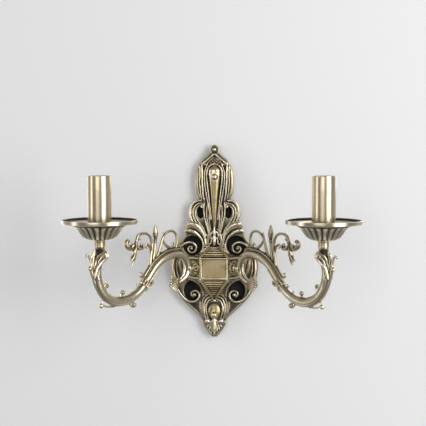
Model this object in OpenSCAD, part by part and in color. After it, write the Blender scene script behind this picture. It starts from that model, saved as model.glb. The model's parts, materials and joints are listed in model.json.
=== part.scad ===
// Two-arm candle sconce in cast brass.
// The wall is the plane y = 0 and the front faces -Y, with +Z up.
// The origin is on the wall, at the middle of the two wall screws and of the block.

/* [Back plate] */
// Height of the finial's centre above the block's middle
finial_z = 147; // [138:1:156]
// Radius of the finial knob
finial_r = 5.2; // [4:0.1:7]
// Height of the crown's shoulders
shoulder_z = 131; // [127:1:134]
// Half width at the shoulders
shoulder_x = 17.5; // [15:0.5:19]
// Half width of the crown
crown_x = 23.8; // [22:0.2:27]
// Half width at the waist under the crown
waist_x = 19.8; // [18:0.2:22]
// Half width over the ear scrolls
ear_x = 32.2; // [29:0.2:35]
// Half width over the leaf rolls
roll_x = 37; // [35:0.5:40]
// Half width at the sides, behind the arms
side_x = 54; // [50:0.5:58]
// Half width of the foot under the lower dome nut
foot_x = 14.6; // [13:0.2:17]
// Depth of the foot's tip below the block's middle
foot_z = 91; // [87:1:97]
// Depth of the plate's field from the wall
field_d = 9; // [8:0.5:12]
// Thickness of the cast shell
shell_t = 2.5; // [2:0.1:3]
// Height of the raised bands over the field
band_h = 4; // [2.5:0.5:6]
// Width of the raised bands
band_w = 2.6; // [1.8:0.1:3.2]
// Radius of the upper volutes
volute_r = 8; // [7.5:0.5:10]
// Radius of the lower volutes
low_volute_r = 7; // [6:0.5:8]

/* [Centre block] */
// Depth of the block's front face from the wall
block_d = 40; // [37:1:44]
// Width of the front face
front_w = 33; // [30:1:36]
// Width of each angled side face
facet_w = 26; // [24:0.5:30]
// Height of the block
block_h = 26.6; // [25:0.2:32]
// Wall of the hollow block
block_t = 2.5; // [2:0.1:3]
// Height of the roof over the block
roof_h = 11; // [9:0.5:13]
// Height of the pendant under the block
pendant_h = 26; // [22:0.5:29]
// Courses in the roof
roof_n = 5; // [3:1:8]
// Courses in the pendant
pendant_n = 8; // [4:1:12]

/* [Wall fixing] */
// Width of the wall strap
strap_w = 18; // [14:1:20]
// Thickness of the wall strap
strap_t = 2.5; // [2:0.1:3]
// Distance between the two wall screws
screw_gap = 60; // [50:1:70]
// Radius of the wall screw holes
screw_r = 2.25; // [1.8:0.05:2.75]
// Height of the upper dome nut above the block's middle
upper_nut_z = 112; // [107:0.5:116]
// Depth of the lower dome nut below the block's middle
lower_nut_z = 61; // [56:0.5:62]
// Radius of the strap studs
stud_r = 2.5; // [2:0.1:3]
// Radius of the dome nuts
dome_r = 4.6; // [4.2:0.1:5.5]

/* [Arms] */
// Thickness of the fluted boss between block and arm
boss_t = 4.8; // [3:0.1:7]
// Radius of the arm tube where it meets the boss
root_r = 4.2; // [4:0.1:5]
// Radius of the arm tube over the hook
hook_tube_r = 4.8; // [4.4:0.1:5.4]
// Radius of the arm tube at the bottom of the bowl
bowl_tube_r = 5.5; // [4.8:0.1:6.2]
// Radius of the arm tube in the upright
upright_r = 4.2; // [3.9:0.1:4.8]
// Bend radius of the hook over the block
hook_bend = 19.5; // [17:0.5:22]
// Bend radius of the shoulder
shoulder_bend = 48; // [44:1:52]
// Angle that the arm falls at
fall_a = 50; // [46:1:54]
// Length of the straight fall
fall_l = 20; // [16:1:24]
// Bend radius of the bowl's inner half
bowl_bend = 46; // [42:1:50]
// Bend radius of the bowl's outer half
rise_bend = 33.5; // [30:0.5:37]
// Angle that the upright leans in
lean_a = 16; // [12:1:20]
// Radius of the arm's head
head_r = 6.4; // [6.1:0.1:7.5]
// Length of the arm's head
head_l = 10; // [8:0.5:12]
// Radius of the wire way through the arm
way_r = 2.8; // [2.5:0.1:3]

/* [Candle] */
// Height of the neck ring
ring_h = 7.6; // [6:0.2:10]
// Radius of the neck ring
ring_r = 6.7; // [6.4:0.1:8.5]
// Radius of the drip pan
pan_r = 43.2; // [40:0.2:47]
// Height of the drip pan
pan_h = 23; // [21:0.5:26]
// Wall of the drip pan
pan_t = 1.6; // [1.2:0.1:2]
// Flutes round the pan's cup
flute_n = 20; // [12:1:24]
// Radius of the candle sleeve
sleeve_r = 13.5; // [13.2:0.1:14.5]
// Wall of the candle sleeve
sleeve_t = 0.9; // [0.6:0.1:1]
// Height of the candle sleeve
sleeve_h = 71; // [68:1:90]
// Radius of the lamp holder's body
holder_r = 11.6; // [11:0.1:11.8]
// Height of the lamp holder
holder_h = 61; // [58:1:63]
// Radius inside the holder's threaded shell
socket_r = 6.95; // [6.8:0.05:7.1]
// Length of the threaded shell
socket_l = 22; // [18:0.5:24]
// Outer radius of the M10 nipple
nipple_r = 5; // [4.8:0.1:5.2]
// Bore radius of the nipples and arm tubes
nipple_bore = 3.2; // [3:0.1:3.5]

/* [Hidden] */
$fn = 64;

BRASS = "#b59a62";
DARK_BRASS = "#7d6a42";
STEEL = "#b9bcc0";
BAKELITE = "#e8e4da";

// Clearances between pieces that seat on each other, between pieces that slide, and in threads
seat = 0.1;
slip = 0.3;
thread = 0.05;
// Wall that is left round a thread
thread_wall = 1.2;

// The arms' own frame: its origin is the middle of an angled side face of the block,
// x runs outwards along the face's normal, and z is up.
facet_x = front_w / 2 + facet_w / 2 * cos(45);
facet_y = block_d - facet_w / 2 * cos(45);
block_half = front_w / 2 + facet_w * cos(45);
plate_face = field_d;

// The arm's line as a walk: [bend radius, angle] for a bend, left turns positive,
// and [0, length] for a straight run
mount_x = boss_t + root_r;
arm_walk = [[-hook_bend, -90], [-shoulder_bend, -fall_a], [0, fall_l], [bowl_bend, fall_a],
    [rise_bend, 90], [45, lean_a], [0, 5], [-30, -lean_a], [0, head_l - 3]];
curl_walk = [[14, 60], [0, 5]];
arm_step = 6.5;
arm_line = walk([mount_x, 0], 90, arm_walk);
curl_line = walk([mount_x, 0], -90, curl_walk);
arm_end = arm_line[len(arm_line) - 1];
curl_end = curl_line[len(curl_line) - 1];
arm_starts = starts([mount_x, 0], 90, arm_walk);
// Ends of the shoulder and of the outer bend, which the ornament is drawn from
shoulder_end = spot(1, 1);
rise_end = spot(4, 1);
candle_x = arm_end.x;
head_z = arm_end.y;

// Heights of the stack over the arm's head
ring_z = head_z + seat;
pan_z = ring_z + ring_h + seat;
floor_z = pan_z + pan_t;
pan_nut_h = 3;
pan_nut_af = 14;
sleeve_z = floor_z + slip;
holder_z = floor_z + seat + pan_nut_h + seat;
holder_top = holder_z + holder_h;
shell_z = holder_top - socket_l - 2;
contact_z = shell_z - 4;
cavity_top = contact_z - 4;
hub_h = 8;
shell_t_holder = 0.8;
nipple_z = head_z - 8;
nipple_top = holder_z + hub_h - 1;

// Inside the block
tube_r = 4;
tube_nut_af = 12;
tube_nut_h = 3;
tube_in = block_t + tube_nut_h + 2;
tube_out = boss_t + 2.2;
post_x = block_half - 4.9;
post_z = block_h / 2 - 3.6;
post_r = 2.9;
post_l = 12;
m3_r = 1.5;
window_x = 22;
window_z = block_h / 2 - 3.3;
terminal_w = 24;
terminal_h = 12;
terminal_d = 12.5;
earth_z = 48;
earth_r = 2;
lug_t = 0.8;
lug_r = 4;
lug_l = 6;
lead_r = 1;
lead_y = strap_t + 1.9;

// The lead in the block, then along the arm in its own frame, and the earth lead
wire_r = 1.4;
wire_y = 11;
LEAD_IN_BLOCK = [[0, 0], [2, 0.2], [3.8, 1.6], [4.8, 4], [5.4, 7], [6.4, 10.5]];
LEAD_IN_ARM = [[-7, 0], [-3, 0], [1, 0], [5, 0], [7.6, 0.6], [9, 2.6], [9.5, 5], [11, 8.5],
    [16, 14.6], [23, 18.5], [31.5, 19.4], [40, 18], [48, 15.3], [55.5, 11.4], [62, 6], [67.5, -0.4],
    [72.6, -6.4], [78, -12.8], [84, -18.6], [91, -23.5], [99, -27], [107, -29], [115.5, -29.4],
    [123.5, -27.8], [131, -24.2], [137.5, -19], [142.5, -12.4], [146, -4], [146.8, 4], [145.9, 12.5],
    [144, 20.5], [142.6, 28.5], [142.6, 36], [142.6, 44], [142.6, 52], [142.6, 60], [142.6, 68]];
EARTH_LEAD = [[4, 6], [4, 9], [4.6, 14], [5.2, 20], [4.8, 26], [3, 31.5], [0.8, 35], [0, 38]];

// Straight and bent runs: each point is [x, z, heading]
function run_length(s) = s[0] == 0 ? s[1] : abs(s[0] * s[1]) * PI / 180;
function along(p, h, s, t) =
    s[0] == 0
        ? [p.x + s[1] * t * cos(h), p.y + s[1] * t * sin(h), h]
        : [p.x - s[0] * sin(h) + s[0] * sin(h + s[1] * t),
           p.y + s[0] * cos(h) - s[0] * cos(h + s[1] * t), h + s[1] * t];
function walk(p, h, runs, i = 0) =
    i == len(runs) ? [[p.x, p.y, h]] :
    let (s = runs[i], n = max(1, ceil(run_length(s) / arm_step)), end = along(p, h, s, 1))
    concat([for (k = [0:n - 1]) along(p, h, s, k / n)], walk(end, end[2], runs, i + 1));
function starts(p, h, runs, i = 0) =
    i == len(runs) ? [[p.x, p.y, h]] :
    let (end = along(p, h, runs[i], 1)) concat([[p.x, p.y, h]], starts(end, end[2], runs, i + 1));

// A place beside the arm's line, t of the way along run k: off is to the left of the line
function spot(k, t, off = 0) = let (s = arm_starts[k], p = along([s.x, s.y], s[2], arm_walk[k], t))
    [p.x - off * sin(p[2]), p.y + off * cos(p[2])];
function moved(a, points) = [for (p = points) [a.x + p.x, a.y + p.y]];

// A smooth line through points, n steps between each two
function blend(a, b, c, d, t) =
    0.5 * (2 * b + (c - a) * t + (2 * a - 5 * b + 4 * c - d) * t * t
    + (3 * b - a - 3 * c + d) * t * t * t);
function at(p, i) = p[max(0, min(len(p) - 1, i))];
function smooth(p, n) = concat(
    [for (i = [0:len(p) - 2], k = [0:n - 1]) blend(at(p, i - 1), p[i], p[i + 1], at(p, i + 2), k / n)],
    [p[len(p) - 1]]);
function headed(p) = [for (i = [0:len(p) - 1])
    let (d = at(p, i + 1) - at(p, i - 1)) [p[i].x, p[i].y, atan2(d.y, d.x)]];
function mix(a, b, t) = a + (b - a) * t;

// Radii along a line: values of a list of stops, spread evenly and joined by straight runs
function spread(stops, n) = [for (i = [0:n - 1])
    let (t = i / (n - 1) * (len(stops) - 1), k = min(len(stops) - 2, floor(t)))
    mix(stops[k], stops[k + 1], t - k)];

// A closed skin over rings of equal counts
function skin_faces(rings, sides) = concat(
    [for (i = [0:rings - 2], k = [0:sides - 1])
        let (a = i * sides + k, b = i * sides + (k + 1) % sides)
            each [[a, b, b + sides], [a, b + sides, a + sides]]],
    [for (k = [1:sides - 2]) [0, k + 1, k]],
    [for (k = [1:sides - 2]) let (e = (rings - 1) * sides) [e, e + k, e + k + 1]]);
module skin(points, rings, sides) {
    polyhedron(points = points, faces = skin_faces(rings, sides), convexity = 10);
}

// A rod of changing thickness along a headed line in the x-z plane, at a sideways offset.
// broad is how much wider the rod is across the plane than in it.
module rod(line, radii, sides = 8, side = 0, broad = 1) {
    points = [for (i = [0:len(line) - 1], k = [0:sides - 1])
        let (p = line[i], f = 360 * (k + 0.5) / sides, r = radii[i])
        [p.x - r * cos(f) * sin(p[2]), side + broad * r * sin(f), p.y + r * cos(f) * cos(p[2])]];
    skin(points, len(line), sides);
}

// A rod through chosen points, with radii given as stops
module stem(points, stops, n = 4, sides = 6, side = 0, broad = 1) {
    line = headed(smooth(points, n));
    rod(line, spread(stops, len(line)), sides, side, broad);
}

// A rod along a line in space, square to it at both ends
function unit(v) = v / norm(v);
module cord(line, r, sides = 8, first, last) {
    n = len(line);
    points = [for (i = [0:n - 1])
        let (d = i == 0 ? first : i == n - 1 ? last : unit(line[i + 1] - line[i - 1]),
            b = [sin(45), cos(45), 0],
            side = unit(b - d * (b * d)), up = cross(d, side))
        for (k = [0:sides - 1]) line[i] + r * (cos(360 * k / sides) * side + sin(360 * k / sides) * up)];
    skin(points, n, sides);
}

// A raised band on the plate: a ribbon along a line in the x-z plane
function ribbon(line, widths) = concat(
    [for (i = [0:len(line) - 1]) let (h = line[i][2])
        [line[i].x - widths[i] / 2 * sin(h), line[i].y + widths[i] / 2 * cos(h)]],
    [for (i = [len(line) - 1:-1:0]) let (h = line[i][2])
        [line[i].x + widths[i] / 2 * sin(h), line[i].y - widths[i] / 2 * cos(h)]]);
module raised(height, sunk = 0.8) {
    translate([0, -plate_face + sunk, 0]) rotate([90, 0, 0]) linear_extrude(height + sunk) difference() {
        union() children();
        block_shadow();
    }
}
module band(points, stops, n = 5) {
    line = headed(smooth(points, n));
    polygon(ribbon(line, spread(stops, len(line))));
}
module both_sides() {
    children();
    mirror([1, 0, 0]) children();
}
module volute(centre, r, turns, from, w) {
    steps = 26;
    line = [for (i = [0:steps]) let (t = i / steps, a = from + 360 * turns * t, q = r * (1 - 0.72 * t))
        [centre.x + q * cos(a), centre.y + q * sin(a), a + (turns > 0 ? 90 : -90)]];
    polygon(ribbon(line, [for (i = [0:steps]) w * (1 - 0.35 * i / steps)]));
    translate(centre) circle(r = r * 0.24);
}

// Right half of the plate's outline, from the finial's neck down to the foot's tip
plate_edge = smooth([[4, finial_z - 2.6], [6, finial_z - 6], [shoulder_x - 5, shoulder_z + 4.5],
    [shoulder_x, shoulder_z],
    [crown_x - 1.2, 119], [crown_x, 106], [crown_x - 0.8, 93], [waist_x, 83.5], [ear_x - 5, 79.5],
    [ear_x - 0.8, 72], [ear_x, 64], [ear_x - 1.5, 56.5], [roll_x - 2.5, 49.5], [roll_x, 40],
    [roll_x + 4, 32.5], [side_x - 6, 22], [side_x, 6], [side_x, -8], [side_x - 3.5, -25],
    [side_x - 8, -35], [side_x - 18, -47],
    [foot_x + 5, -lower_nut_z - 6], [foot_x, -69], [foot_x - 0.3, -74], [foot_x - 6.5, -foot_z + 7.5],
    [1.5, -foot_z + 0.5]], 4);
module plate_outline() {
    half = plate_edge;
    last = len(half) - 1;
    polygon(concat([for (p = half) p], [for (i = [last:-1:0]) [-half[i].x, half[i].y]]));
    translate([0, finial_z]) circle(r = finial_r);
}

// Places for the parts of one side: side is 1 for the right and -1 for the left
module at_facet(side) {
    mirror([side < 0 ? 1 : 0, 0, 0]) translate([facet_x, -facet_y, 0]) rotate([0, 0, -45]) children();
}
module at_candle(side, z = 0) {
    at_facet(side) translate([candle_x, 0, z]) children();
}
module at_nut(z) {
    translate([0, 0, z]) rotate([90, 0, 0]) children();
}
module hexagon(af, h) {
    cylinder(h = h, r = af / 2 / cos(30), $fn = 6);
}

// Back plate
drop_r = 7.2;
volute_at = [27.4, 24.6];
low_volute_at = [25, -37];
module drop_shape(top, foot, r) {
    line = headed(smooth([[0, foot], [0, mix(foot, top, 0.35)], [0, mix(foot, top, 0.7)], [0, top]], 4));
    polygon(ribbon(line, spread([1.2, r, r * 1.7, r * 2], len(line))));
    translate([0, top]) circle(r = r);
}
module arch_band() {
    band([[4.5, 58], [6, 76], [9, 96], [10, 113], [7.4, 124], [0, 128], [-7.4, 124], [-10, 113],
        [-9, 96], [-6, 76], [-4.5, 58]], [band_w * 0.8, band_w * 0.8], 3);
}
module crown_ribs() {
    both_sides() {
        band([[crown_x - 9.2, 131], [crown_x - 8.6, 112], [crown_x - 9.5, 95], [crown_x - 11, 82]],
            [2.4, 2.2, 1.8]);
        band([[crown_x - 5.6, 129], [crown_x - 4.4, 112], [crown_x - 5, 95], [crown_x - 7.6, 84]],
            [2.2, 2.2, 1.8]);
        band([[crown_x - 3, 124], [crown_x - 1.6, 108], [crown_x - 2.2, 94], [crown_x - 4.6, 85]],
            [1.6, 2, 1.6]);
    }
}
module pediment() {
    both_sides() band([[1.5, finial_z - 6.5], [8, finial_z - 13], [15.5, shoulder_z - 2.5]], [3.2, 3.2], 2);
    translate([0, finial_z]) circle(r = finial_r - 1);
}
module ear_scrolls() {
    both_sides() {
        band([[ear_x - 13, 78], [ear_x - 7, 77.5], [ear_x - 2.8, 71], [ear_x - 2, 63.5], [ear_x - 4, 57],
            [ear_x - 9, 53], [ear_x - 14, 47]], [band_w * 0.8, band_w, band_w * 0.7]);
        band([[ear_x - 13.5, 74.5], [ear_x - 9, 73], [ear_x - 6.4, 66], [ear_x - 7.5, 60],
            [ear_x - 12, 54.5]], [band_w * 0.6, band_w * 0.7, band_w * 0.5]);
        band([[roll_x - 4.5, 47.5], [roll_x - 11, 48], [roll_x - 19, 43.5], [roll_x - 25, 35]],
            [4.4, 4.2, 2.4]);
        band([[roll_x - 2, 41.5], [roll_x - 10, 42], [roll_x - 17, 38], [roll_x - 21, 31]], [3.4, 3, 1.8]);
    }
}
module side_scrolls() {
    both_sides() {
        volute(volute_at, volute_r, -1.35, 150, band_w);
        band([[side_x - 9, 21], [side_x - 13, 29], [side_x - 19, 33.5], [side_x - 27, 34.5]],
            [band_w, band_w * 1.1, band_w]);
        band([[side_x - 2.8, 8], [side_x - 2.2, 0], [side_x - 3, -10], [side_x - 7, -22]], [3.4, 3.6, 3]);
        volute(low_volute_at, low_volute_r, 1.3, 250, band_w);
        band([[23, -42.4], [30, -42.8], [37, -39], [43, -32.5], [side_x - 7, -24]], [band_w, band_w, band_w]);
    }
}
module foot_shell() {
    both_sides() {
        band([[4, -38], [9.5, -45], [10.5, -55], [8, -64], [10, -70]], [1.6, 2, 2, 1.6]);
        band([[9, -40], [13.6, -48], [14.2, -57], [12, -66]], [1.6, 2, 1.6]);
        band([[3.2, -70], [9, -73.5]], [4.4, 4.8], 2);
        band([[2.2, -73], [6.6, -80.5]], [1.6, 2], 2);
    }
    band([[0, -69], [0, -foot_z + 5]], [2, 3], 2);
    translate([0, -lower_nut_z + 17]) circle(r = 2.2);
}
module pendant_bud() {
    band([[0, 56], [0, 47], [0, 38], [0, 28]], [1, 5, 4, 1.4]);
}
module back_plate() {
    color(DARK_BRASS) difference() {
        union() {
            rotate([90, 0, 0]) linear_extrude(field_d) plate_outline();
            raised(band_h) {
                arch_band();
                crown_ribs();
                pediment();
            }
            raised(band_h) {
                ear_scrolls();
                side_scrolls();
                pendant_bud();
            }
            raised(band_h) foot_shell();
            raised(band_h + 1.5) drop_shape(upper_nut_z + 5.5, 50, drop_r);
            raised(band_h) drop_shape(-lower_nut_z + 4.5, -71, drop_r);
        }
        rotate([90, 0, 0]) translate([0, 0, -1]) linear_extrude(field_d - shell_t + 1)
            offset(delta = -shell_t) plate_outline();
        translate([-window_x, -block_d, -window_z]) cube([2 * window_x, block_d, 2 * window_z]);
        for (z = [upper_nut_z, -lower_nut_z]) at_nut(z) cylinder(h = 60, r = stud_r + slip);
        for (x = [-post_x, post_x], z = [-post_z, post_z])
            translate([x, 0, z]) rotate([90, 0, 0]) cylinder(h = 60, r = m3_r + slip);
    }
}

// Centre block: a half-octagon box with stepped roofs
function block_plan(half, run, front) = [[half, -front], [half + run, -front + run],
    [half + run, -plate_face], [-half - run, -plate_face], [-half - run, -front + run], [-half, -front]];
roof_tip = [6, 3];
pendant_tip = [1.8, 2.5];
tip_d = plate_face + 3.5;
// How fast the roofs' sides fall back to the plate
roof_fall = 3;
function course_half(t, tip) = mix(front_w / 2, tip.x, t);
function course_run(t, tip) = mix(tip.y, facet_w * cos(45), pow(1 - t, roof_fall));
module course(t, tip, z, h) {
    half = course_half(t, tip);
    front = mix(block_d, tip_d, t);
    run = min(course_run(t, tip), front - plate_face - 0.5);
    translate([0, 0, z]) linear_extrude(h) polygon(block_plan(half, run, front));
}
module block_shape() {
    translate([0, 0, -block_h / 2]) linear_extrude(block_h)
        polygon(block_plan(front_w / 2, facet_w * cos(45), block_d));
    for (i = [0:roof_n - 1])
        course((i + 0.6) / roof_n, roof_tip, block_h / 2 + i * roof_h / roof_n, roof_h / roof_n);
    for (i = [0:pendant_n - 1])
        course((i + 0.6) / pendant_n, pendant_tip, -block_h / 2 - (i + 1) * pendant_h / pendant_n,
            pendant_h / pendant_n);
}
module block_hollow() {
    inner = front_w / 2 - block_t * (sqrt(2) - 1);
    side = block_half - block_t;
    front = block_d - block_t;
    translate([0, 0, -block_h / 2 + block_t]) linear_extrude(block_h - 2 * block_t)
        polygon([[inner, -front], [side, -front + side - inner], [side, 0], [-side, 0],
            [-side, -front + side - inner], [-inner, -front]]);
}
// What the plate's bands keep clear of: right half, from the roof's top down to the pendant's tip
module block_shadow() {
    room = 2.8;
    roof_mid = course_half(0.5, roof_tip) + course_run(0.5, roof_tip);
    pendant_mid = course_half(0.5, pendant_tip) + course_run(0.5, pendant_tip);
    half = [[roof_tip.x + roof_tip.y + room, block_h / 2 + roof_h + slip],
        [roof_mid + room, block_h / 2 + roof_h / 2],
        [block_half - 1, block_h / 2 + room], [block_half + slip, block_h / 2 + slip],
        [block_half + slip, -block_h / 2 - slip], [block_half - 1, -block_h / 2 - room],
        [pendant_mid + room, -block_h / 2 - pendant_h / 2],
        [pendant_tip.x + pendant_tip.y + room, -block_h / 2 - pendant_h - slip]];
    last = len(half) - 1;
    polygon(concat(half, [for (i = [last:-1:0]) [-half[i].x, half[i].y]]));
}
module posts(r, l) {
    for (x = [-post_x, post_x], z = [-post_z, post_z])
        translate([x, -plate_face, z]) rotate([90, 0, 0]) cylinder(h = l, r = r);
}
module centre_block() {
    color(BRASS) difference() {
        union() {
            difference() {
                block_shape();
                block_hollow();
            }
            posts(post_r, post_l);
        }
        translate([0, 1, 0]) posts(m3_r + thread, post_l);
        for (side = [-1, 1]) at_facet(side) rotate([0, 90, 0])
            cylinder(h = 3 * block_t, r = tube_r + slip, center = true);
    }
}

// Wall strap with its studs and nuts
module wall_strap() {
    color(STEEL) rotate([90, 0, 0]) linear_extrude(strap_t) difference() {
        union() {
            translate([-strap_w / 2, -lower_nut_z]) square([strap_w, upper_nut_z + lower_nut_z]);
            translate([0, upper_nut_z]) circle(r = strap_w / 2);
            translate([0, -lower_nut_z]) circle(r = strap_w / 2);
        }
        for (z = [upper_nut_z, -lower_nut_z]) translate([0, z]) circle(r = stud_r + thread);
        for (z = [screw_gap / 2, -screw_gap / 2]) translate([0, z]) circle(r = screw_r);
        translate([0, earth_z]) circle(r = earth_r + thread);
        circle(r = m3_r + thread);
    }
}
stud_l = plate_face + band_h + 5;
module strap_studs() {
    color(STEEL) for (z = [upper_nut_z, -lower_nut_z]) at_nut(z) cylinder(h = stud_l, r = stud_r);
}
module stud_nuts() {
    color(STEEL) for (z = [upper_nut_z, -lower_nut_z]) at_nut(z) translate([0, 0, strap_t]) difference() {
        hexagon(8, 3.4);
        translate([0, 0, -1]) cylinder(h = 6, r = stud_r + thread);
    }
}
module dome_nut(y) {
    translate([0, 0, y]) difference() {
        union() {
            cylinder(h = 1.2, r = dome_r + 0.5);
            cylinder(h = 2.6, r = dome_r);
            translate([0, 0, 2.6]) intersection() {
                sphere(r = dome_r);
                cylinder(h = dome_r, r = dome_r);
            }
        }
        translate([0, 0, -1]) cylinder(h = stud_l - y + 1.3, r = stud_r + thread);
    }
}
module dome_nuts() {
    color(BRASS) {
        at_nut(upper_nut_z) dome_nut(plate_face + band_h + 1.5 + seat);
        at_nut(-lower_nut_z) dome_nut(plate_face + band_h + seat);
    }
}
module block_screws() {
    color(STEEL) for (x = [-post_x, post_x], z = [-post_z, post_z])
        translate([x, 0, z]) rotate([90, 0, 0]) {
            translate([0, 0, plate_face - shell_t - 1.9]) difference() {
                cylinder(h = 1.8, r = 2.8);
                translate([-0.4, -3, -0.1]) cube([0.8, 6, 1]);
            }
            translate([0, 0, plate_face - shell_t - 0.2]) cylinder(h = shell_t + 8, r = m3_r);
        }
}

// Arms
arm_radii = spread([root_r, hook_tube_r, hook_tube_r, hook_tube_r, bowl_tube_r, bowl_tube_r,
    upright_r + 0.4, upright_r], len(arm_line));
module knob(k, t, off, r) {
    tip = spot(k, t, off);
    stem([spot(k, t, off * 0.3), spot(k, t, off * 0.65), tip], [1.3, 0.9, 0.9], 1, 6);
    translate([tip.x, 0, tip.y]) sphere(r = r, $fn = 24);
}
module palmette() {
    end = curl_end;
    for (k = [-2:2]) {
        a = end[2] + 6 + k * 21;
        l = 15 - abs(k) * 1.6;
        stem([[end.x - 2, end.y + 1], [end.x + 0.55 * l * cos(a), end.y + 0.55 * l * sin(a)],
            [end.x + l * cos(a), end.y + l * sin(a)]], [1.8, 2.2, 2.4, 1.6], 2, 6);
    }
}
module arm() {
    rod(arm_line, arm_radii, 12);
    rod(curl_line, spread([root_r, 3.6, 2.6, 2], len(curl_line)), 10);
    palmette();
    translate([candle_x, 0, head_z - head_l]) cylinder(h = head_l, r = head_r);
    translate([candle_x, 0, head_z - head_l - 3.5]) cylinder(h = 3.6, r1 = upright_r, r2 = head_r - 0.4);
    // Leaf that curls inwards under the head
    stem(moved(arm_end, [[2.4, -24.6], [0.9, -16.6], [-1.1, -10.1], [-5.6, -5.8], [-10.6, -5.6],
        [-13.2, -8.6], [-11.6, -11.6]]), [1.6, 2.2, 2.4, 2.4, 2, 1.4, 1.2], 2, 6, broad = 1.9);
    // Outer strands of the upright, and one on its inner side
    stem(moved(rise_end, [[-13.9, -28.6], [-3.4, -21.1], [3.6, -9.1], [6.6, 1.9], [8.1, 12.9], [8.6, 20.9],
        [11.6, 25.3], [14.5, 23.5], [13.1, 21.1]]), [2, 2.2, 2, 1.7, 1.5, 1.3, 1.2, 1], 2, 6);
    stem(moved(rise_end, [[3.6, -8.1], [5.7, 3.9], [9.7, 10.1], [11.1, 8.5]]), [1.2, 1.3, 1.2, 0.9], 2, 6);
    stem(moved(rise_end, [[-7.9, -12.1], [-4.7, -2.1], [-4.9, 7.9], [-6.3, 15.9]]),
        [1.2, 1.6, 1.5, 1.2], 2, 6);
    // Curl inside the bowl
    stem(moved(rise_end, [[-25.9, -27.7], [-16.9, -23.3], [-11.9, -17.7], [-10.9, -13.7], [-13.5, -11.7],
        [-15.5, -13.9]]), [1.2, 1.4, 1.3, 1.2, 1.2, 1], 2, 6);
    // Collar on the fall, and the knobs
    collar_at = spot(2, 0.95);
    translate([collar_at.x, 0, collar_at.y]) rotate([0, 90 + fall_a, 0])
        cylinder(h = 3.2, r = hook_tube_r + 0.8, center = true);
    knob(4, 0.42, -10.8, 2.3);
    knob(3, 0.59, -10.4, 2.3);
    knob(3, 0.9, 10.1, 2.1);
    knob(3, 0.2, 8, 1.6);
    knob(2, 0.51, -8.5, 2);
}
module arm_bores() {
    // Wire way along the tube, thread for the candle's nipple, and thread for the block's tube
    rod([for (i = [0:len(arm_line) - 3]) arm_line[i]], [for (i = arm_line) way_r], 10);
    translate([mount_x - 0.6, 0, 0]) sphere(r = way_r + 0.6, $fn = 24);
    translate([candle_x, 0, nipple_z - 6]) cylinder(h = head_z, r = nipple_bore);
    translate([candle_x, 0, nipple_z - 0.5]) cylinder(h = head_z, r = nipple_r + thread);
    translate([-1, 0, 0]) rotate([0, 90, 0]) cylinder(h = tube_out + 1.5, r = tube_r + thread);
}
module arm_piece() {
    color(BRASS) difference() {
        union() {
            arm();
            translate([boss_t + seat, 0, 0]) rotate([0, 90, 0])
                cylinder(h = root_r, r = tube_r + thread_wall + 0.4);
        }
        arm_bores();
    }
}
module arm_left() {
    at_facet(-1) arm_piece();
}
module arm_right() {
    at_facet(1) arm_piece();
}

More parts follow.
